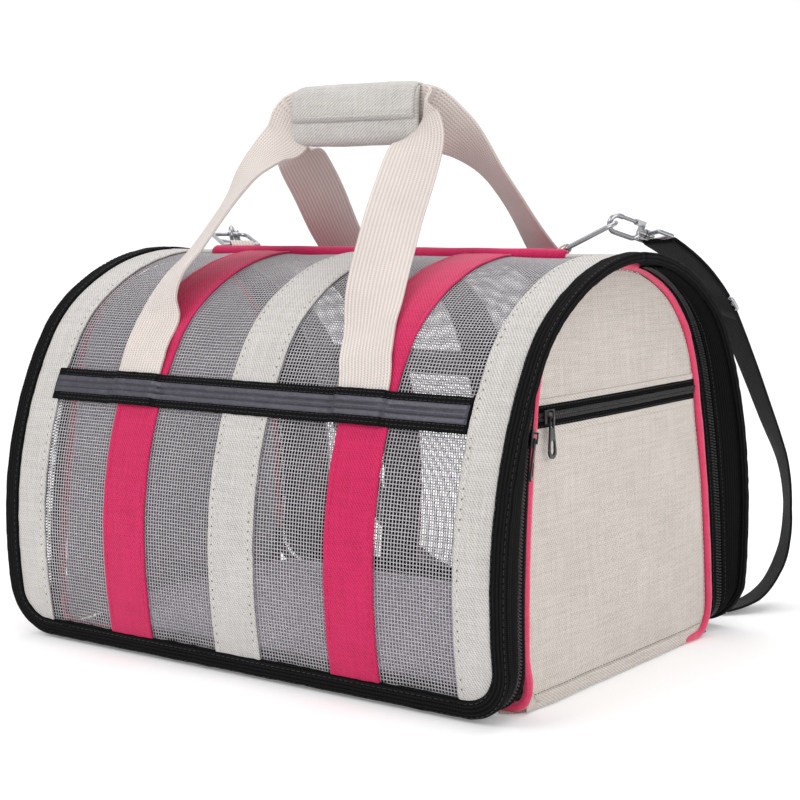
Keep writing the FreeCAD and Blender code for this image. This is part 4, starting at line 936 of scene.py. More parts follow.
# ============================================================ end panels
FOOT = 1.9
EA = -3.6
Z_TOP_END = float(on(ARCH, phi_y(ARCH, 0.0, EA), EA)[1])
RCN = 24.0
Y_CORNER = float(on(ARCH, phi_z(ARCH, FOOT + RCN, EA), EA)[0])


def half_w(z):
    z = float(z)
    if z < FOOT + RCN:
        q = max(RCN - (z - FOOT), 0.0)
        return Y_CORNER - RCN + math.sqrt(max(RCN ** 2 - q * q, 0.0))
    if z >= Z_TOP_END - 0.001:
        return 0.0
    return max(float(on(ARCH, phi_z(ARCH, z, EA), EA)[0]), 0.0)


END_W = {1: (waves(61, 5, 0.003, 0.014), waves(62, 6, 0.012, 0.035)), -1: (waves(63, 5, 0.003, 0.014), waves(64, 6, 0.012, 0.035))}


def end_disp(y, z, sx):
    a, b = END_W[sx]
    edge = np.clip((z - FOOT) / 40.0, 0, 1)
    return (1.5 * np.cos(math.pi * np.clip(y / 240.0, -0.5, 0.5)) * edge + 0.7 * a(y, z) + 0.18 * b(y, z)) * np.clip((258.0 - z) / 30.0, 0.15, 1)


def em(y, z, n, sx):
    y, z, n = np.broadcast_arrays(np.asarray(y, float), np.asarray(z, float), np.asarray(n, float))
    return np.stack([sx * (end_x(z) + n + end_disp(y, z, sx)), y, z], -1)


def make_end(side, sx):
    N, M = 84, 57
    zz = FOOT + 0.15 + (Z_TOP_END - FOOT - 0.3) * (1 - np.cos(np.linspace(0.06, math.pi - 0.02, N))) / 2
    ww = A([half_w(z) for z in zz])
    tt = np.linspace(-1, 1, M)
    Y = ww[:, None] * tt[None, :]
    Z = zz[:, None] + 0 * Y
    outer = em(Y, Z, 0.0, sx)
    inner = em(Y, Z, -1.5, sx)
    v = np.vstack([outer.reshape(-1, 3), inner.reshape(-1, 3)])
    uv = np.vstack([np.stack([Y, Z], -1).reshape(-1, 2)] * 2)
    f1 = grid_faces(N, M, False)
    f2 = f1[:, ::-1] + N * M
    rim = []
    ring = [(0, j) for j in range(M)] + [(i, M - 1) for i in range(1, N)] + [(N - 1, j) for j in range(M - 2, -1, -1)] + \
        [(i, 0) for i in range(N - 2, 0, -1)]
    ids = [i * M + j for i, j in ring]
    for a, b in zip(ids, ids[1:] + ids[:1]):
        rim.append((a, b, b + N * M, a + N * M))
    faces = [tuple(f) for f in f1] + [tuple(f) for f in f2] + rim
    mi = [0] * len(f1) + [1] * len(f2) + [0] * len(rim)
    ob = build(side + "_end_canvas", v, faces, uv, CREAM, "root", "cream_canvas", side + "_end_panel", extra_mats=(LINING,), mat_index=mi)
    # turned-up edge of the floor cloth along the foot
    ys = np.linspace(-Y_CORNER + 9.5, Y_CORNER - 9.5, 90)
    sec = A([(-4.2, 0.0), (-4.0, 0.9), (-3.2, 1.5), (-1.5, 1.9), (0.8, 1.9), (2.6, 1.6), (3.7, 1.15), (4.2, 0.5), (4.1, -0.3), (0, -0.6), (-4.0, -0.5)])
    g = waves(71 + sx, 5, 0.01, 0.04)
    Yh = ys[:, None] + 0 * sec[None, :, 0]
    Zh = 5.4 + sec[None, :, 0] + 0.35 * g(ys, ys * 0)[:, None]
    ends = smooth((Y_CORNER - 9.5 - np.abs(ys)) / 12.0)[:, None]
    Nh = (sec[None, :, 1] * 0.4 + 0.12 * g(ys, ys * 0 + 50)[:, None]) * ends + 0.12 * ends - 0.35 * (1 - ends)
    rows = em(Yh, Zh, Nh, sx)
    sweep(side + "_foot_fold", rows, mat=CREAM, slot="cream_canvas", body="root")
    # row of dark pegs along the hem: painted shade of the stitch line and its crease
    yy = np.arange(-Y_CORNER + 8, Y_CORNER - 8, 3.3)
    p = em(yy, 10.6 + 0.25 * g(yy, yy * 0), 0.12, sx)
    beads(side + "_foot_stitch_shade", p, np.tile(A([0, 1.0, 0]), (len(yy), 1)), np.tile(A([sx * 1.0, 0, 0]), (len(yy), 1)), 2.2, 0.5, 0.45, HOLE_SHADE, body="root",
          slot="cream_canvas")
    return ob


make_end("right", 1)
make_end("left", -1)


def flat_tape_end(name, y0, y1, z0, z1, n0, t, mat, sx=1, seed=1, **kw):
    ys = np.linspace(y0, y1, 70)
    w = (z1 - z0) / 2
    sec = tape_section(w, t, crown=0.03)
    g = waves(seed, 4, 0.01, 0.05)
    Y = ys[:, None] + 0 * sec[None, :, 0]
    Z = (z0 + z1) / 2 + sec[None, :, 0] + 0.15 * g(ys, 0 * ys)[:, None]
    rows = em(Y, Z, n0 + sec[None, :, 1], sx)
    u = np.concatenate([[0], np.cumsum(np.linalg.norm(np.diff(sec, axis=0), axis=1))])
    return sweep(name, rows, u, ys - ys[0], mat=mat, body="root", **kw)


def make_pocket():
    yh = half_w(176.0) - 0.4
    flat_tape_end("pocket_tape_low", -yh, yh, 169.2, 175.3, 0.15, 0.8, ZIPTAPE, seed=81, slot="black_zip_tape", replaces="pocket_zip_tape")
    flat_tape_end("pocket_tape_high", -yh, yh, 176.7, 182.8, 0.15, 0.8, ZIPTAPE, seed=81, slot="black_zip_tape")
    y = np.arange(-yh + 1, yh - 1, 2.0)
    for k, (dz, off) in enumerate(((-1.35, 0.0), (1.35, 1.0))):
        p = em(y + off, 176.0 + dz, 1.45, 1)
        beads("pocket_coil_%d" % k, p, np.tile(A([0, 0, 1.0]), (len(y), 1)), np.tile(A([1.0, 0, 0]), (len(y), 1)), 2.6, 1.2, 1.5, COIL, body="root",
              slot="zip_coil", replaces="pocket_zip_chain" if k == 0 else ())
    for z, nm in ((170.4, "low"), (181.6, "high")):
        yy = np.arange(-yh + 2, yh - 2, 3.4)
        beads("pocket_stitch_" + nm, em(yy, z, 0.98, 1), np.tile(A([0, 1.0, 0]), (len(yy), 1)), np.tile(A([1.0, 0, 0]), (len(yy), 1)), 2.4, 0.45, 0.4,
              THREAD_BLACK, body="root", slot="black_zip_tape")
    # lips of the canvas, turned under along the zip
    flat_tape_end("pocket_lip_low", -yh - 0.2, yh + 0.2, 165.2, 169.6, -0.12, 0.72, CREAM, seed=83, slot="cream_canvas")
    flat_tape_end("pocket_lip_high", -yh + 1.0, yh - 1.0, 182.4, 186.6, -0.12, 0.72, CREAM, seed=84, slot="cream_canvas")
    # lining
    ys, zs = np.linspace(-95, 95, 24), np.linspace(15, 185, 24)
    Y, Z = np.meshgrid(ys, zs, indexing="ij")
    r = 1 - np.maximum(np.abs(Y) / 95, np.abs(Z - 100) / 85)
    bag = 1.6 * smooth(r * 3)
    outer = em(Y, Z, -2.0 - bag, 1)
    inner = em(Y, Z, -2.7 - bag, 1)
    n = 24
    v = np.vstack([outer.reshape(-1, 3), inner.reshape(-1, 3)])
    uv = np.vstack([np.stack([Y, Z], -1).reshape(-1, 2)] * 2)
    f1 = grid_faces(n, n, False)
    ids = [i * n + j for i, j in [(0, j) for j in range(n)] + [(i, n - 1) for i in range(1, n)] + [(n - 1, j) for j in range(n - 2, -1, -1)] +
           [(i, 0) for i in range(n - 2, 0, -1)]]
    faces = [tuple(f) for f in f1] + [tuple(f) for f in f1[:, ::-1] + n * n] + [(a, b, b + n * n, a + n * n) for a, b in zip(ids, ids[1:] + ids[:1])]
    ob = build("pocket_lining_cloth", v, faces, uv, LINING, "root", "grey_fabric", "pocket_lining")


def make_coil_mat():
    m = Mat("zip_coil", "object")
    n = m.noise(0.9, detail=3.0)
    return m.done(m.ramp(n, [(0.3, lin(14, 14, 15)), (0.7, lin(38, 38, 41))]), 0.38, 0.5)


COIL = make_coil_mat()
make_pocket()


# ============================================================ gussets, piping and coil zips
def stations():
    P = []
    for f in (88.5, 80, 72, 64, 56, 48, 40, 32, 25, 18.5, 12.5, 9.0, 6.5, 4.2, 2.2, 0.9):
        y, z = on(ARCH, math.radians(f))
        P.append((float(end_x(z)) + 0.6, float(y), float(z)))
    P += [(197.4, 121.3, 22.0), (195.2, 122.8, 13.4), (190.4, 125.2, 7.2), (183.0, 128.2, 4.2), (172.0, 130.8, 3.5),
          (150.0, 132.2, 3.4), (100.0, 132.4, 3.4), (50.0, 132.4, 3.4), (0.0, 132.4, 3.4)]
    off, x_in = -7.0, 4.5
    xs = 210.0 - x_in
    Q = []
    for f in (87.4, 78, 70, 62, 54, 46.5, 39.5, 34.0):
        y, z = on(PROFILE, math.radians(f), off)
        Q.append((xs, float(y), float(z)))
    for z in (199.0, 188.0, 176.0, 141.0, 109.0, 79.0, 54.0):
        Q.append((xs, float(on(PROFILE, phi_z(PROFILE, z, off), off)[0]), z))
    r = 34.0 - x_in
    ox, oz = 210.0 - 34.0, 1.6 + 34.0
    for a in (-4, -22, -40, -58, -76, -88):
        z = oz + r * math.sin(math.radians(a))
        x = ox + r * math.cos(math.radians(a))
        Q.append((x, float(on(PROFILE, phi_z(PROFILE, z, off), off)[0]), z))
    y = float(on(PROFILE, phi_z(PROFILE, 1.6 + x_in, off), off)[0])
    Q += [(x, y, 1.6 + x_in) for x in (148.0, 100.0, 50.0, 0.0)]
    F = [0.5, 0.46, 0.42, 0.38, 0.36, 0.34, 0.33, 0.32, 0.32, 0.32, 0.32, 0.32, 0.32, 0.33, 0.34, 0.36, 0.40, 0.45, 0.5, 0.52, 0.52, 0.52, 0.52,
         0.52, 0.52]
    P, Q = A(P), A(Q)
    L = np.linalg.norm(Q - P, axis=1)
    F = np.minimum(np.maximum(F, 7.4 / L), 1 - 3.6 / L)
    return P, Q, F


SP, SQ, SF = stations()
PQF = catmull(np.hstack([SP, SQ, SF[:, None]]), 7)


def whole_line(s, i0):
    d = PQF[i0 * 7:]
    a = A([1.0, s, 1.0])
    b = A([-1.0, s, 1.0])
    P = np.vstack([d[:, :3] * a, (d[:, :3] * b)[::-1][1:]])
    Q = np.vstack([d[:, 3:6] * a, (d[:, 3:6] * b)[::-1][1:]])
    F = np.concatenate([d[:, 6], d[:, 6][::-1][1:]])
    L = np.linalg.norm(Q - P, axis=1)
    w = (Q - P) / L[:, None]
    t = unit(np.gradient((P + Q) / 2, axis=0))
    n = unit(np.cross(w, t))
    if n[0][0] < 0:
        n = -n
    for k in range(1, len(n)):
        if np.dot(n[k], n[k - 1]) < 0:
            n[k] = -n[k]
    return P, Q, F, L, w, t, n


def gusset_strip(name, s, i0, a_fn, b_fn, bulge, mat, seed, **kw):
    P, Q, F, L, w, t, n = whole_line(s, i0)
    a, b = a_fn(F, L), b_fn(F, L)
    k = np.linspace(0, 1, 9)
    g = waves(seed, 5, 0.004, 0.03)
    ln = np.concatenate([[0], np.cumsum(np.linalg.norm(np.diff((P + Q) / 2, axis=0), axis=1))])
    c = a[:, None] + (b - a)[:, None] * k[None, :]
    h = bulge * np.sin(math.pi * k)[None, :] * np.clip((b - a) / 12.0, 0, 1)[:, None] + 0.35 * g(ln[:, None] + 0 * c, c) * np.sin(math.pi * k)[None, :]
    top = P[:, None] + w[:, None] * c[..., None] + n[:, None] * (h + 0.5)[..., None]
    bot = P[:, None] + w[:, None] * c[..., None] + n[:, None] * (h - 0.5)[..., None]
    rows = np.concatenate([top, bot[:, ::-1]], 1)
    cu = np.concatenate([k * 14.0, k[::-1] * 14.0])
    return sweep(name, rows, cu, ln, mat=mat, **kw)


def coil_line(s, i0, off, lift):
    P, Q, F, L, w, t, n = whole_line(s, i0)
    c = P + w * (F * L + off)[:, None] + n * lift
    return np.hstack([c, w, n])


def make_gusset(side):
    s, body = SIGN[side], BODY[side]
    i1 = 2 if s < 0 else 1
    gusset_strip(side + "_gusset_body", s, 1, lambda F, L: 0 * L + 1.0, lambda F, L: F * L - 2.6, 1.1, ZIPTAPE, 91 + s, body="root",
                 slot="black_zip_tape", replaces=side + "_gusset")
    gusset_strip(side + "_gusset_panel", s, i1, lambda F, L: F * L + 2.6, lambda F, L: L + 0.2, 1.4, ZIPTAPE, 95 + s, body=body,
                 slot="black_zip_tape", replaces=side + "_panel_gusset")
    for half, off, shift, bd, i0 in (("body_half", -1.45, 0.0, "root", 1), ("panel_half", 1.45, 1.05, body, i1)):
        line = coil_line(s, i0, off, 0.15)
        r = resample(line, 2.1, 0.5 + shift)
        beads("%s_coil_%s" % (side, half), r[:, :3], unit(r[:, 3:6]), unit(r[:, 6:9]), 2.75, 1.25, 2.1, COIL, body=bd, slot="zip_coil",
              replaces="%s_zip_coil_%s" % (side, half))
    for nm, off, bd, i0 in (("body", -6.4, "root", 1), ("panel", 6.2, body, i1)):
        P, Q, F, L, w, t, n = whole_line(s, i0)
        c = np.hstack([P + w * (F * L + off)[:, None] + n * 1.25, t, n])
        m = (L * F > 9.5) if off < 0 else (L * (1 - F) > 10.0)
        c = resample(c[m], 3.2)
        beads("%s_zip_stitch_%s" % (side, nm), c[:, :3], c[:, 3:6], c[:, 6:9], 2.3, 0.5, 0.5, THREAD_BLACK, body=bd, slot="black_zip_tape")


make_gusset("front")
make_gusset("rear")


def corner_cloth(side, sx, s):
    z = np.linspace(1.2, 36.0, 12)
    lo = A([half_w(q) for q in z]) - 3.0
    Y = lo[None, :] + np.linspace(0, 1, 12)[:, None] * (Y_CORNER + (0.8 if s < 0 else 5.0) - lo)[None, :]
    Z = np.tile(z, (12, 1))
    X = end_x(Z) - (0.9 if s < 0 else 2.3)
    v = np.vstack([np.stack([X + t, Y, Z], -1).reshape(-1, 3) for t in (0.35, -0.35)]) * A([sx, s, 1])
    f1 = grid_faces(12, 12, False)
    ids = [i * 12 + j for i, j in [(0, j) for j in range(12)] + [(i, 11) for i in range(1, 12)] + [(11, j) for j in range(10, -1, -1)] +
           [(i, 0) for i in range(10, 0, -1)]]
    faces = [tuple(f) for f in f1] + [tuple(f) for f in f1[:, ::-1] + 144] + [(a, b, b + 144, a + 144) for a, b in zip(ids, ids[1:] + ids[:1])]
    build("%s_corner_cloth_%s" % (side, "front" if s < 0 else "rear"), v, faces, np.vstack([np.stack([Y, Z], -1).reshape(-1, 2)] * 2), CREAM if s < 0 else ZIPTAPE, "root",
          "cream_canvas" if s < 0 else "black_zip_tape")


def make_piping(side, sx):
    a = np.radians(A([-8, -22, -36, -50, -64, -78, -88.0]))
    zc = FOOT + RCN
    turn = np.stack([end_x(zc + (RCN + 2.6) * np.sin(a)) + 0.5 - 1.6 * (1 - np.cos(a)), Y_CORNER - RCN + (RCN + 3.2) * np.cos(a),
                     np.maximum(zc + (RCN + 2.6) * np.sin(a), 3.4)], -1)
    turn = np.vstack([turn, turn[-1] + A([-2.0, -14.0, 0.0])])
    low = A([(float(end_x(zc - 8)) + 0.5, Y_CORNER + 0.6, zc - 8), (float(end_x(zc - 15)) - 0.2, Y_CORNER + 1.6, zc - 15),
             (float(end_x(9)) - 3.0, Y_CORNER + 2.6, 6.2), (float(end_x(9)) - 11.0, Y_CORNER + 3.0, 3.8),
             (float(end_x(9)) - 25.0, Y_CORNER + 3.0, 3.4), (float(end_x(9)) - 44.0, Y_CORNER + 2.0, 3.4)])
    half = np.vstack([SP[:16], turn]) * A([sx, 1, 1])
    front = np.vstack([SP[:16], low]) * A([sx, 1, 1])
    pts = np.vstack([(front * A([1, -1, 1]))[::-1], [(sx * (float(end_x(263.8)) + 0.6), 0, 263.85)], half])
    line = catmull(pts, 9)
    g = waves(77 + sx, 4, 0.01, 0.05)
    d = np.concatenate([[0], np.cumsum(np.linalg.norm(np.diff(line, axis=0), axis=1))])
    line = line + A([0.15, 0.2, 0.1]) * g(d, 0 * d)[:, None]
    r = 3.0 + 0.12 * g(d * 3, d)
    tube(side + "_piping_cord", line, r, PINK_CORD, 14, slot="pink_fabric", replaces=side + "_piping", body="root")
    # stitches along the piping's flange, sewn down on the canvas side
    c = resample(np.hstack([line]), 3.4)
    tt = unit(np.gradient(c, axis=0))
    up = np.tile(A([sx * 1.0, 0, 0]), (len(c), 1))
    side_v = unit(np.cross(tt, up))
    inward = side_v * np.sign((side_v * (A([0, 0, 120.0]) - c)).sum(-1, keepdims=True))
    pc = c + inward * 4.4
    pc[:, 0] = sx * (end_x(pc[:, 2]) + 0.25 + end_disp(pc[:, 1], pc[:, 2], sx))
    keep = (pc[:, 2] > 14) & ~((np.abs(pc[:, 2] - 176) < 9) & (sx > 0))
    beads(side + "_piping_stitch", pc[keep], tt[keep], up[keep], 2.4, 0.5, 0.45, THREAD_CREAM, body="root", slot="cream_canvas")


make_piping("right", 1)
make_piping("left", -1)
for q in (-1, 1):
    corner_cloth("right", 1, q)
    corner_cloth("left", -1, q)

# ============================================================ handles and grip
GX0, GX1, GZ = -68.5, 39.5, 364.5
HANDLES = {
    "front": ((90.0, [((73.5, -101.0, 248.5), (0.90, 0.43, -0.03)),
                      ((66.0, -79.5, 275.5), (0.83, 0.53, -0.16)),
                      ((59.0, -59.5, 298.0), (0.80, 0.55, -0.22)),
                      ((53.5, -38.0, 322.8), (0.82, 0.52, -0.12)),
                      ((48.5, -20.0, 343.0), (0.82, 0.42, 0.25)),
                      ((43.5, -7.5, 356.0), (0.50, 0.20, 0.84))]),
              (-100.5, [((-103.0, -109.0, 240.0), (0.94, -0.34, 0.00)),
                      ((-102.8, -98.5, 254.0), (0.83, -0.55, -0.03)),
                      ((-101.0, -79.0, 271.0), (0.77, -0.64, -0.04)),
                      ((-99.1, -58.0, 291.4), (0.75, -0.66, -0.06)),
                      ((-93.5, -42.0, 311.7), (0.77, -0.62, -0.12)),
                      ((-90.0, -28.0, 328.8), (0.82, -0.48, -0.30)),
                      ((-84.0, -15.5, 342.0), (0.72, -0.40, -0.57)),
                      ((-76.5, -6.0, 351.5), (0.45, -0.22, -0.87))])),
    "rear": ((95.0, [((91.5, 96.0, 250.0), (0.97, -0.24, 0.03)),
                      ((86.0, 70.0, 279.5), (0.80, -0.58, 0.15)),
                      ((77.0, 52.0, 307.0), (0.72, -0.67, 0.18)),
                      ((69.5, 38.0, 325.4), (0.66, -0.68, 0.30)),
                      ((59.5, 23.0, 343.0), (0.58, -0.50, 0.62)),
                      ((50.0, 10.0, 355.0), (0.34, -0.22, 0.91))]),
             (-95.0, [((-96.0, 95.0, 256.0), (0.98, 0.12, 0.12)),
                      ((-94.7, 70.0, 287.0), (0.88, 0.30, 0.36)),
                      ((-90.5, 46.0, 314.0), (0.80, 0.45, 0.38)),
                      ((-87.5, 25.0, 335.0), (0.82, 0.50, 0.10)),
                      ((-85.0, 11.0, 350.5), (0.70, 0.22, -0.68))])),
}



def make_handle(side):
    s = SIGN[side]
    yg = s * 1.3

    def leg(foot, mids):
        out = []
        for z, dx, o in ((172.5, 0.0, -1.1), (180.0, 0.0, -1.1), (187.0, 0.0, -1.0), (193.6, 0.03, -0.75), (201.0, 0.15, -0.5), (209.0, 0.32, -0.1),
                         (226.0, 0.68, -0.1)):
            y, zz = on(PROFILE, phi_z(PROFILE, z, o), o)
            out.append(((foot + (mids[0][0][0] - foot) * dx, s * float(y), float(zz)), (1, 0, 0)))
        return out + mids
    R = leg(*HANDLES[side][0]) + [((GX1 + 1.5, yg, GZ), (0, 0, 1))]
    L = leg(*HANDLES[side][1]) + [((GX0 - 1.5, yg, GZ), (0, 0, 1))]
    rows = R + [((GX1 - 6, yg, GZ), (0, 0, 1)), ((GX0 + 6, yg, GZ), (0, 0, 1))]
    Lr = [(c, tuple(-x for x in w) if k < len(L) - 1 else w) for k, (c, w) in enumerate(L)][::-1]
    rows = rows + Lr
    data = A([list(c) + list(unit(A(w, float))) for c, w in rows])
    data = catmull(data, 9)
    p, w = data[:, :3], unit(data[:, 3:6])
    d = np.concatenate([[0], np.cumsum(np.linalg.norm(np.diff(p, axis=0), axis=1))])
    g = waves(101 + s, 4, 0.002, 0.01)
    rws, t, w, n = ribbon_rows(p, w, 19.0, 1.9)
    free = np.clip(np.minimum(d, d[-1] - d) / 60.0 - 0.6, 0, 1)
    cup = (np.linspace(-1, 1, 20) ** 2)
    rws = rws + n[:, None, :] * (0.8 * g(d, 0 * d) * free)[:, None, None]
    ob = sweep(side + "_handle_web", rws, None, d, mat=HANDLE, slot="cream_webbing", replaces=side + "_handle",
               body=None if s < 0 else "root")
    if s < 0:
        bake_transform(ob)
    return ob


make_handle("front")
make_handle("rear")


def superellipse(a, b, e, m):
    th = np.linspace(0, 2 * math.pi, m, endpoint=False)
    c, s_ = np.cos(th), np.sin(th)
    return np.stack([a * np.sign(c) * np.abs(c) ** e, b * np.sign(s_) * np.abs(s_) ** e], -1)


def make_grip():
    m = 48
    so = superellipse(10.6, 20.6, 0.62, m)
    si = superellipse(3.3, 19.8, 0.55, m)
    rows, us = [], []
    g1, g2 = waves(111, 5, 0.006, 0.02), waves(112, 6, 0.02, 0.06)
    n = 44
    for k in range(n):
        f = k / (n - 1)
        x = GX0 + 0.4 + (GX1 - GX0 - 0.8) * f
        e = min(f, 1 - f) * (GX1 - GX0)
        puff = 1.0 - 0.10 * math.exp(-e / 4.0) + 0.02 * math.sin(math.pi * f)
        sec = so * puff
        th = np.arange(m) * 1.0
        bump = 0.35 * g1(x + 0 * th, sec[:, 1] * 2) + 0.22 * g2(x + 0 * th, sec[:, 1] * 2 + sec[:, 0])
        nrm = unit(so)
        sec = sec + nrm * bump[:, None]
        rows.append(np.stack([np.full(m, x), sec[:, 0], GZ + sec[:, 1]], -1))
    for f in (0.25, 0.6):
        sec = so * 0.9 * (1 - f) + si * f
        rows.append(np.stack([np.full(m, GX1 + 0.15 * math.sin(math.pi * f)), sec[:, 0], GZ + sec[:, 1]], -1))
    for x in np.linspace(GX1 - 1.0, GX0 + 1.0, 12):
        rows.append(np.stack([np.full(m, x), si[:, 0], GZ + si[:, 1]], -1))
    for f in (0.6, 0.25):
        sec = so * 0.9 * (1 - f) + si * f
        rows.append(np.stack([np.full(m, GX0 - 0.15 * math.sin(math.pi * f)), sec[:, 0], GZ + sec[:, 1]], -1))
    ob = sweep("grip_sleeve", A(rows), closed=True, mat=CREAM_STRIP, slot="cream_canvas", replaces="handle_grip", body="root")
    # flap that closes the sleeve, overlapping the front
    th = np.linspace(math.radians(62), math.radians(183.5), 26)
    rows = []
    for k in range(n):
        f = k / (n - 1)
        x = GX0 + 0.8 + (GX1 - GX0 - 1.6) * f
        c, s_ = np.cos(th), np.sin(th)
        base = np.stack([10.6 * np.sign(c) * np.abs(c) ** 0.62, 20.6 * np.sign(s_) * np.abs(s_) ** 0.62], -1)
        e = min(f, 1 - f) * (GX1 - GX0)
        puff = 1.0 - 0.10 * math.exp(-e / 4.0) + 0.02 * math.sin(math.pi * f)
        base = base * puff
        nrm = unit(base * A([1.4, 1.0]))
        bump = 0.35 * g1(x + 0 * th, base[:, 1] * 2) + 0.22 * g2(x + 0 * th, base[:, 1] * 2 + base[:, 0])
        taper = np.clip((np.arange(26)) / 6.0, 0.12, 1)
        o = base + nrm * (0.35 + 1.0 * taper + bump)[:, None]
        i = base + nrm * (0.1 + bump)[:, None]
        rows.append(np.vstack([np.stack([np.full(26, x), o[:, 0], GZ + o[:, 1]], -1), np.stack([np.full(26, x), i[:, 0], GZ + i[:, 1]], -1)[::-1]]))
    sweep("grip_flap", A(rows), mat=CREAM_STRIP, slot="cream_canvas", body="root")
    xs = np.arange(GX0 + 4, GX1 - 4, 3.6)
    beads("grip_stitch", np.stack([xs, 0 * xs - 12.05, 0 * xs + GZ - 0.6], -1), np.tile(A([1.0, 0, 0]), (len(xs), 1)),
          np.tile(A([0, -1.0, 0]), (len(xs), 1)), 2.5, 0.6, 0.7, THREAD_CREAM, body="root", slot="cream_canvas")


make_grip()


# ============================================================ ridge, ring tabs
def make_ridge():
    x = np.linspace(-153, 153, 110)
    g = waves(121, 4, 0.004, 0.03)
    a = np.linspace(0, 2 * math.pi, 20, endpoint=False)
    rows = []
    for k, xx in enumerate(x):
        e = min(xx + 153, 153 - xx)
        q = 0.72 + 0.28 * min(e / 2.0, 1.0) ** 0.5
        r = (4.9 + 0.15 * g(xx, 0)) * q
        rows.append(np.stack([np.full(20, xx), r * np.cos(a) * 1.0, 268.5 + r * np.sin(a)], -1))
    sweep("ridge_roll", A(rows), mat=PINK, slot="pink_fabric", replaces="ridge_tape", body="root")
    x = np.linspace(-197, 197, 120)
    rows = [np.stack([np.full(12, xx), 2.6 * np.cos(a[:12] * 20 / 12), 268.0 + 2.3 * np.sin(a[:12] * 20 / 12)], -1) for xx in x]
    sweep("ridge_seam", A(rows), mat=CREAM_STRIP, slot="cream_canvas", body="root")


make_ridge()


def make_tab(side, sx):
    lo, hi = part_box(side + "_ring_tab")
    c = (A(lo) + A(hi)) / 2 / MM
    e1 = unit(A([0.735 * sx, 0.5, 0.458]))
    a = A([-0.497 * sx, 0.867, 0.0])
    a2 = unit(a - e1 * np.dot(a, e1))
    nn = unit(np.cross(a2, e1))
    if nn[2] < 0:
        nn = -nn
    tail = c - e1 * 9.0 - nn * 2.0
    pts = [tail + nn * 0.9] + [c - e1 * 4 + nn * 2.2] + [c + nn * 2.6 * math.cos(t) + e1 * 2.6 * math.sin(t) for t in np.linspace(0, math.pi, 9)] + \
        [c - e1 * 4 - nn * 1.6, tail - nn * 0.9]
    line = catmull(A(pts), 4)
    rows, *_ = ribbon_rows(line, np.tile(a2, (len(line), 1)), 8.8, 1.2)
    sweep(side + "_tab_loop", rows, mat=HANDLE, slot="cream_webbing", replaces=side + "_ring_tab", body="root")


make_tab("right", 1)
make_tab("left", -1)


# ============================================================ floor
def pad_mesh(name, hx, hy, rc, z0, z1, r, mat, slot, node, crown, seed, nr=34, nc=44):
    """rounded rectangular pad with soft edges"""
    X, Y = np.meshgrid(np.linspace(-1, 1, nc * 2 + 1), np.linspace(-1, 1, nr * 2 + 1), indexing="ij")
    q = np.maximum(np.abs(X), np.abs(Y))
    # map the square to the rounded rectangle, ring by ring
    px, py = X * hx, Y * hy
    cx, cy = np.clip(px, -(hx - rc), hx - rc), np.clip(py, -(hy - rc), hy - rc)
    dx, dy = px - cx, py - cy
    m = np.maximum(np.abs(dx), np.abs(dy))
    ln = np.hypot(dx, dy)
    k = np.where(ln > 1e-9, m / np.maximum(ln, 1e-9), 1.0)
    px, py = cx + dx * k, cy + dy * k
    edge = np.minimum((1 - q) * min(hx, hy), 60.0)
    f = waves(seed, 6, 0.004, 0.018)
    prof = np.sqrt(np.clip(1 - np.clip(1 - edge / r, 0, 1) ** 2, 0, 1))
    zt = z0 + (z1 - z0) * (0.5 + 0.5 * prof) + (crown * np.clip(edge / 50.0, 0, 1) ** 0.5 + 0.5 * f(px, py)) * prof
    zb = z0 + (z1 - z0) * (0.5 - 0.5 * prof)
    n, mm = X.shape
    v = np.vstack([np.stack([px, py, zt], -1).reshape(-1, 3), np.stack([px, py, zb], -1).reshape(-1, 3)])
    uv = np.vstack([np.stack([px, py], -1).reshape(-1, 2)] * 2)
    f1 = grid_faces(n, mm, False)
    ids = [i * mm + j for i, j in [(0, j) for j in range(mm)] + [(i, mm - 1) for i in range(1, n)] + [(n - 1, j) for j in range(mm - 2, -1, -1)] +
           [(i, 0) for i in range(n - 2, 0, -1)]]
    faces = [tuple(q) for q in f1] + [tuple(q) for q in f1[:, ::-1] + n * mm] + [(a, b, b + n * mm, a + n * mm) for a, b in zip(ids, ids[1:] + ids[:1])]
    return build(name, v, faces, uv, mat, "root", slot, node)


mat_pad = pad_mesh("floor_mat_pad", 184.5, 111.5, 33.0, 5.1, 14.6, 4.6, GREY, "grey_fabric", "floor_mat", 0.5, 131)
pad_mesh("bottom_cloth", 195.5, 128.0, 14.0, 0.15, 1.55, 0.7, CREAM, "cream_canvas", "bottom_panel", 0.0, 132)


# ============================================================ carried-over CAD pieces
def dress(node, mat):
    ob = NODES[node]
    ob.data.materials.clear()
    ob.data.materials.append(mat)


def refine(node, mat, bevel):
    """the CAD piece with its edges rounded over"""
    src = NODES[node]
    me = src.data.copy()
    me.name = node + "_fine"
    ob = bpy.data.objects.new(node + "_fine", me)
    bpy.context.scene.collection.objects.link(ob)
    me.materials.clear()
    me.materials.append(mat)
    bm = bmesh.new()
    bm.from_mesh(me)
    bmesh.ops.remove_doubles(bm, verts=bm.verts, dist=1e-6)
    bmesh.ops.dissolve_limit(bm, angle_limit=math.radians(1.0), verts=bm.verts, edges=bm.edges)
    edges = [e for e in bm.edges if len(e.link_faces) == 2 and e.calc_face_angle(0.0) > math.radians(35)]
    bmesh.ops.bevel(bm, geom=edges, offset=bevel * MM, segments=2, profile=0.5, affect="EDGES", clamp_overlap=True)
    bmesh.ops.triangulate(bm, faces=[f for f in bm.faces if len(f.verts) > 4])
    bm.to_mesh(me)
    bm.free()
    me.polygons.foreach_set("use_smooth", [True] * len(me.polygons))
    me.set_sharp_from_angle(angle=math.radians(50))
    body = src["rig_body"]
    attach(ob, body)
    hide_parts(node)
    return ob


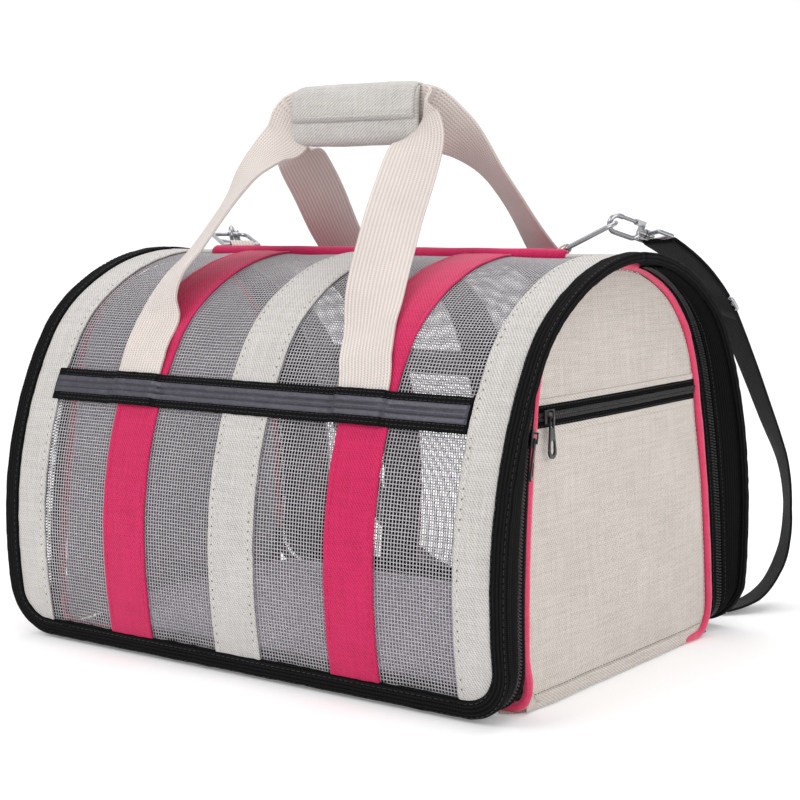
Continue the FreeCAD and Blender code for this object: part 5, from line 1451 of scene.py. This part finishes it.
def make_board():
    m = Mat("board", "object")
    n = m.noise(0.4, detail=4.0)
    return m.done(m.ramp(n, [(0.3, lin(52, 52, 56)), (0.7, lin(72, 72, 78))]), 0.6, 0.3)


dress("base_board", make_board())
for sd in ("front", "rear"):
    dress(sd + "_frame_wires", WIRE)
    refine(sd + "_zip_slider", ENAMEL, 0.25)
    refine(sd + "_zip_puller", ENAMEL, 0.22)
refine("pocket_zip_slider", ENAMEL, 0.25)
refine("pocket_zip_puller", ENAMEL, 0.22)
for sd in ("right", "left"):
    for nm in ("d_ring", "hook_gate", "hook_eye"):
        dress("%s_%s" % (sd, nm), CHROME)
        for p in NODES["%s_%s" % (sd, nm)].data.polygons:
            p.use_smooth = True
        NODES["%s_%s" % (sd, nm)].data.set_sharp_from_angle(angle=math.radians(40))
    dress(sd + "_hook_body", CHROME)
    for p in NODES[sd + "_hook_body"].data.polygons:
        p.use_smooth = True
    NODES[sd + "_hook_body"].data.set_sharp_from_angle(angle=math.radians(40))


# ============================================================ studio
def make_studio():
    m = Mat("studio_paper", "object")
    n = m.noise(0.004, detail=2.0)
    col = m.ramp(n, [(0.2, (0.93, 0.93, 0.935, 1)), (0.8, (0.95, 0.95, 0.955, 1))])
    paper = m.done(col, 0.9, 0.1)
    for nd in paper.node_tree.nodes:
        if nd.type == "BSDF_PRINCIPLED":
            nd.inputs["Emission Color"].default_value = (1.0, 1.0, 1.0, 1.0)
            nd.inputs["Emission Strength"].default_value = 0.16
    # floor that curves up far behind the object, square to the camera
    yaw = 0.630778606
    f = A([-math.sin(yaw), math.cos(yaw)])
    r = A([math.cos(yaw), math.sin(yaw)])
    prof = [(-3500, 0), (-1500, 0), (0, 0), (900, 0), (1600, 0)]
    R = 1500.0
    prof += [(1600 + R * math.sin(a), R - R * math.cos(a)) for a in np.linspace(0.08, math.pi / 2, 18)]
    prof += [(1600 + R, 4500)]
    rows = []
    for d, z in prof:
        rows.append([(f[0] * d + r[0] * w, f[1] * d + r[1] * w, z) for w in np.linspace(-5000, 5000, 9)])
    rows = A(rows)
    n_, m_ = rows.shape[:2]
    ob = build("studio_sweep", rows.reshape(-1, 3), [tuple(q) for q in grid_faces(n_, m_, False)], None, paper, None, fix=False)
    bm = bmesh.new()
    bm.from_mesh(ob.data)
    bmesh.ops.recalc_face_normals(bm, faces=bm.faces)
    bm.to_mesh(ob.data)
    bm.free()

    def area(name, loc, target, size, power, color=(1, 1, 1)):
        li = bpy.data.lights.new(name, "AREA")
        li.shape = "RECTANGLE"
        li.size, li.size_y = size
        li.energy = power
        li.color = color
        o = bpy.data.objects.new(name, li)
        bpy.context.scene.collection.objects.link(o)
        o.location = loc
        o.rotation_euler = (Vector(target) - Vector(loc)).to_track_quat("-Z", "Y").to_euler()
        return o
    area("key_soft", (-0.9, -1.9, 1.7), (0, 0, 0.12), (1.6, 1.3), 21, (1.0, 0.995, 0.985))
    area("fill_soft", (2.1, -0.9, 1.1), (0, 0, 0.15), (1.6, 1.3), 15, (1.0, 0.98, 0.955))
    area("top_soft", (0.1, 0.5, 2.2), (0, 0, 0.1), (2.2, 1.8), 22, (1.0, 1.0, 1.0))
    w = bpy.data.worlds.new("studio_air")
    w.use_nodes = True
    bg = w.node_tree.nodes["Background"]
    bg.inputs[0].default_value = (1.0, 1.0, 1.0, 1.0)
    bg.inputs[1].default_value = 0.62
    bpy.context.scene.world = w
    bpy.context.scene.view_settings.view_transform = "Standard"
    bpy.context.scene.view_settings.look = "None"


make_studio()
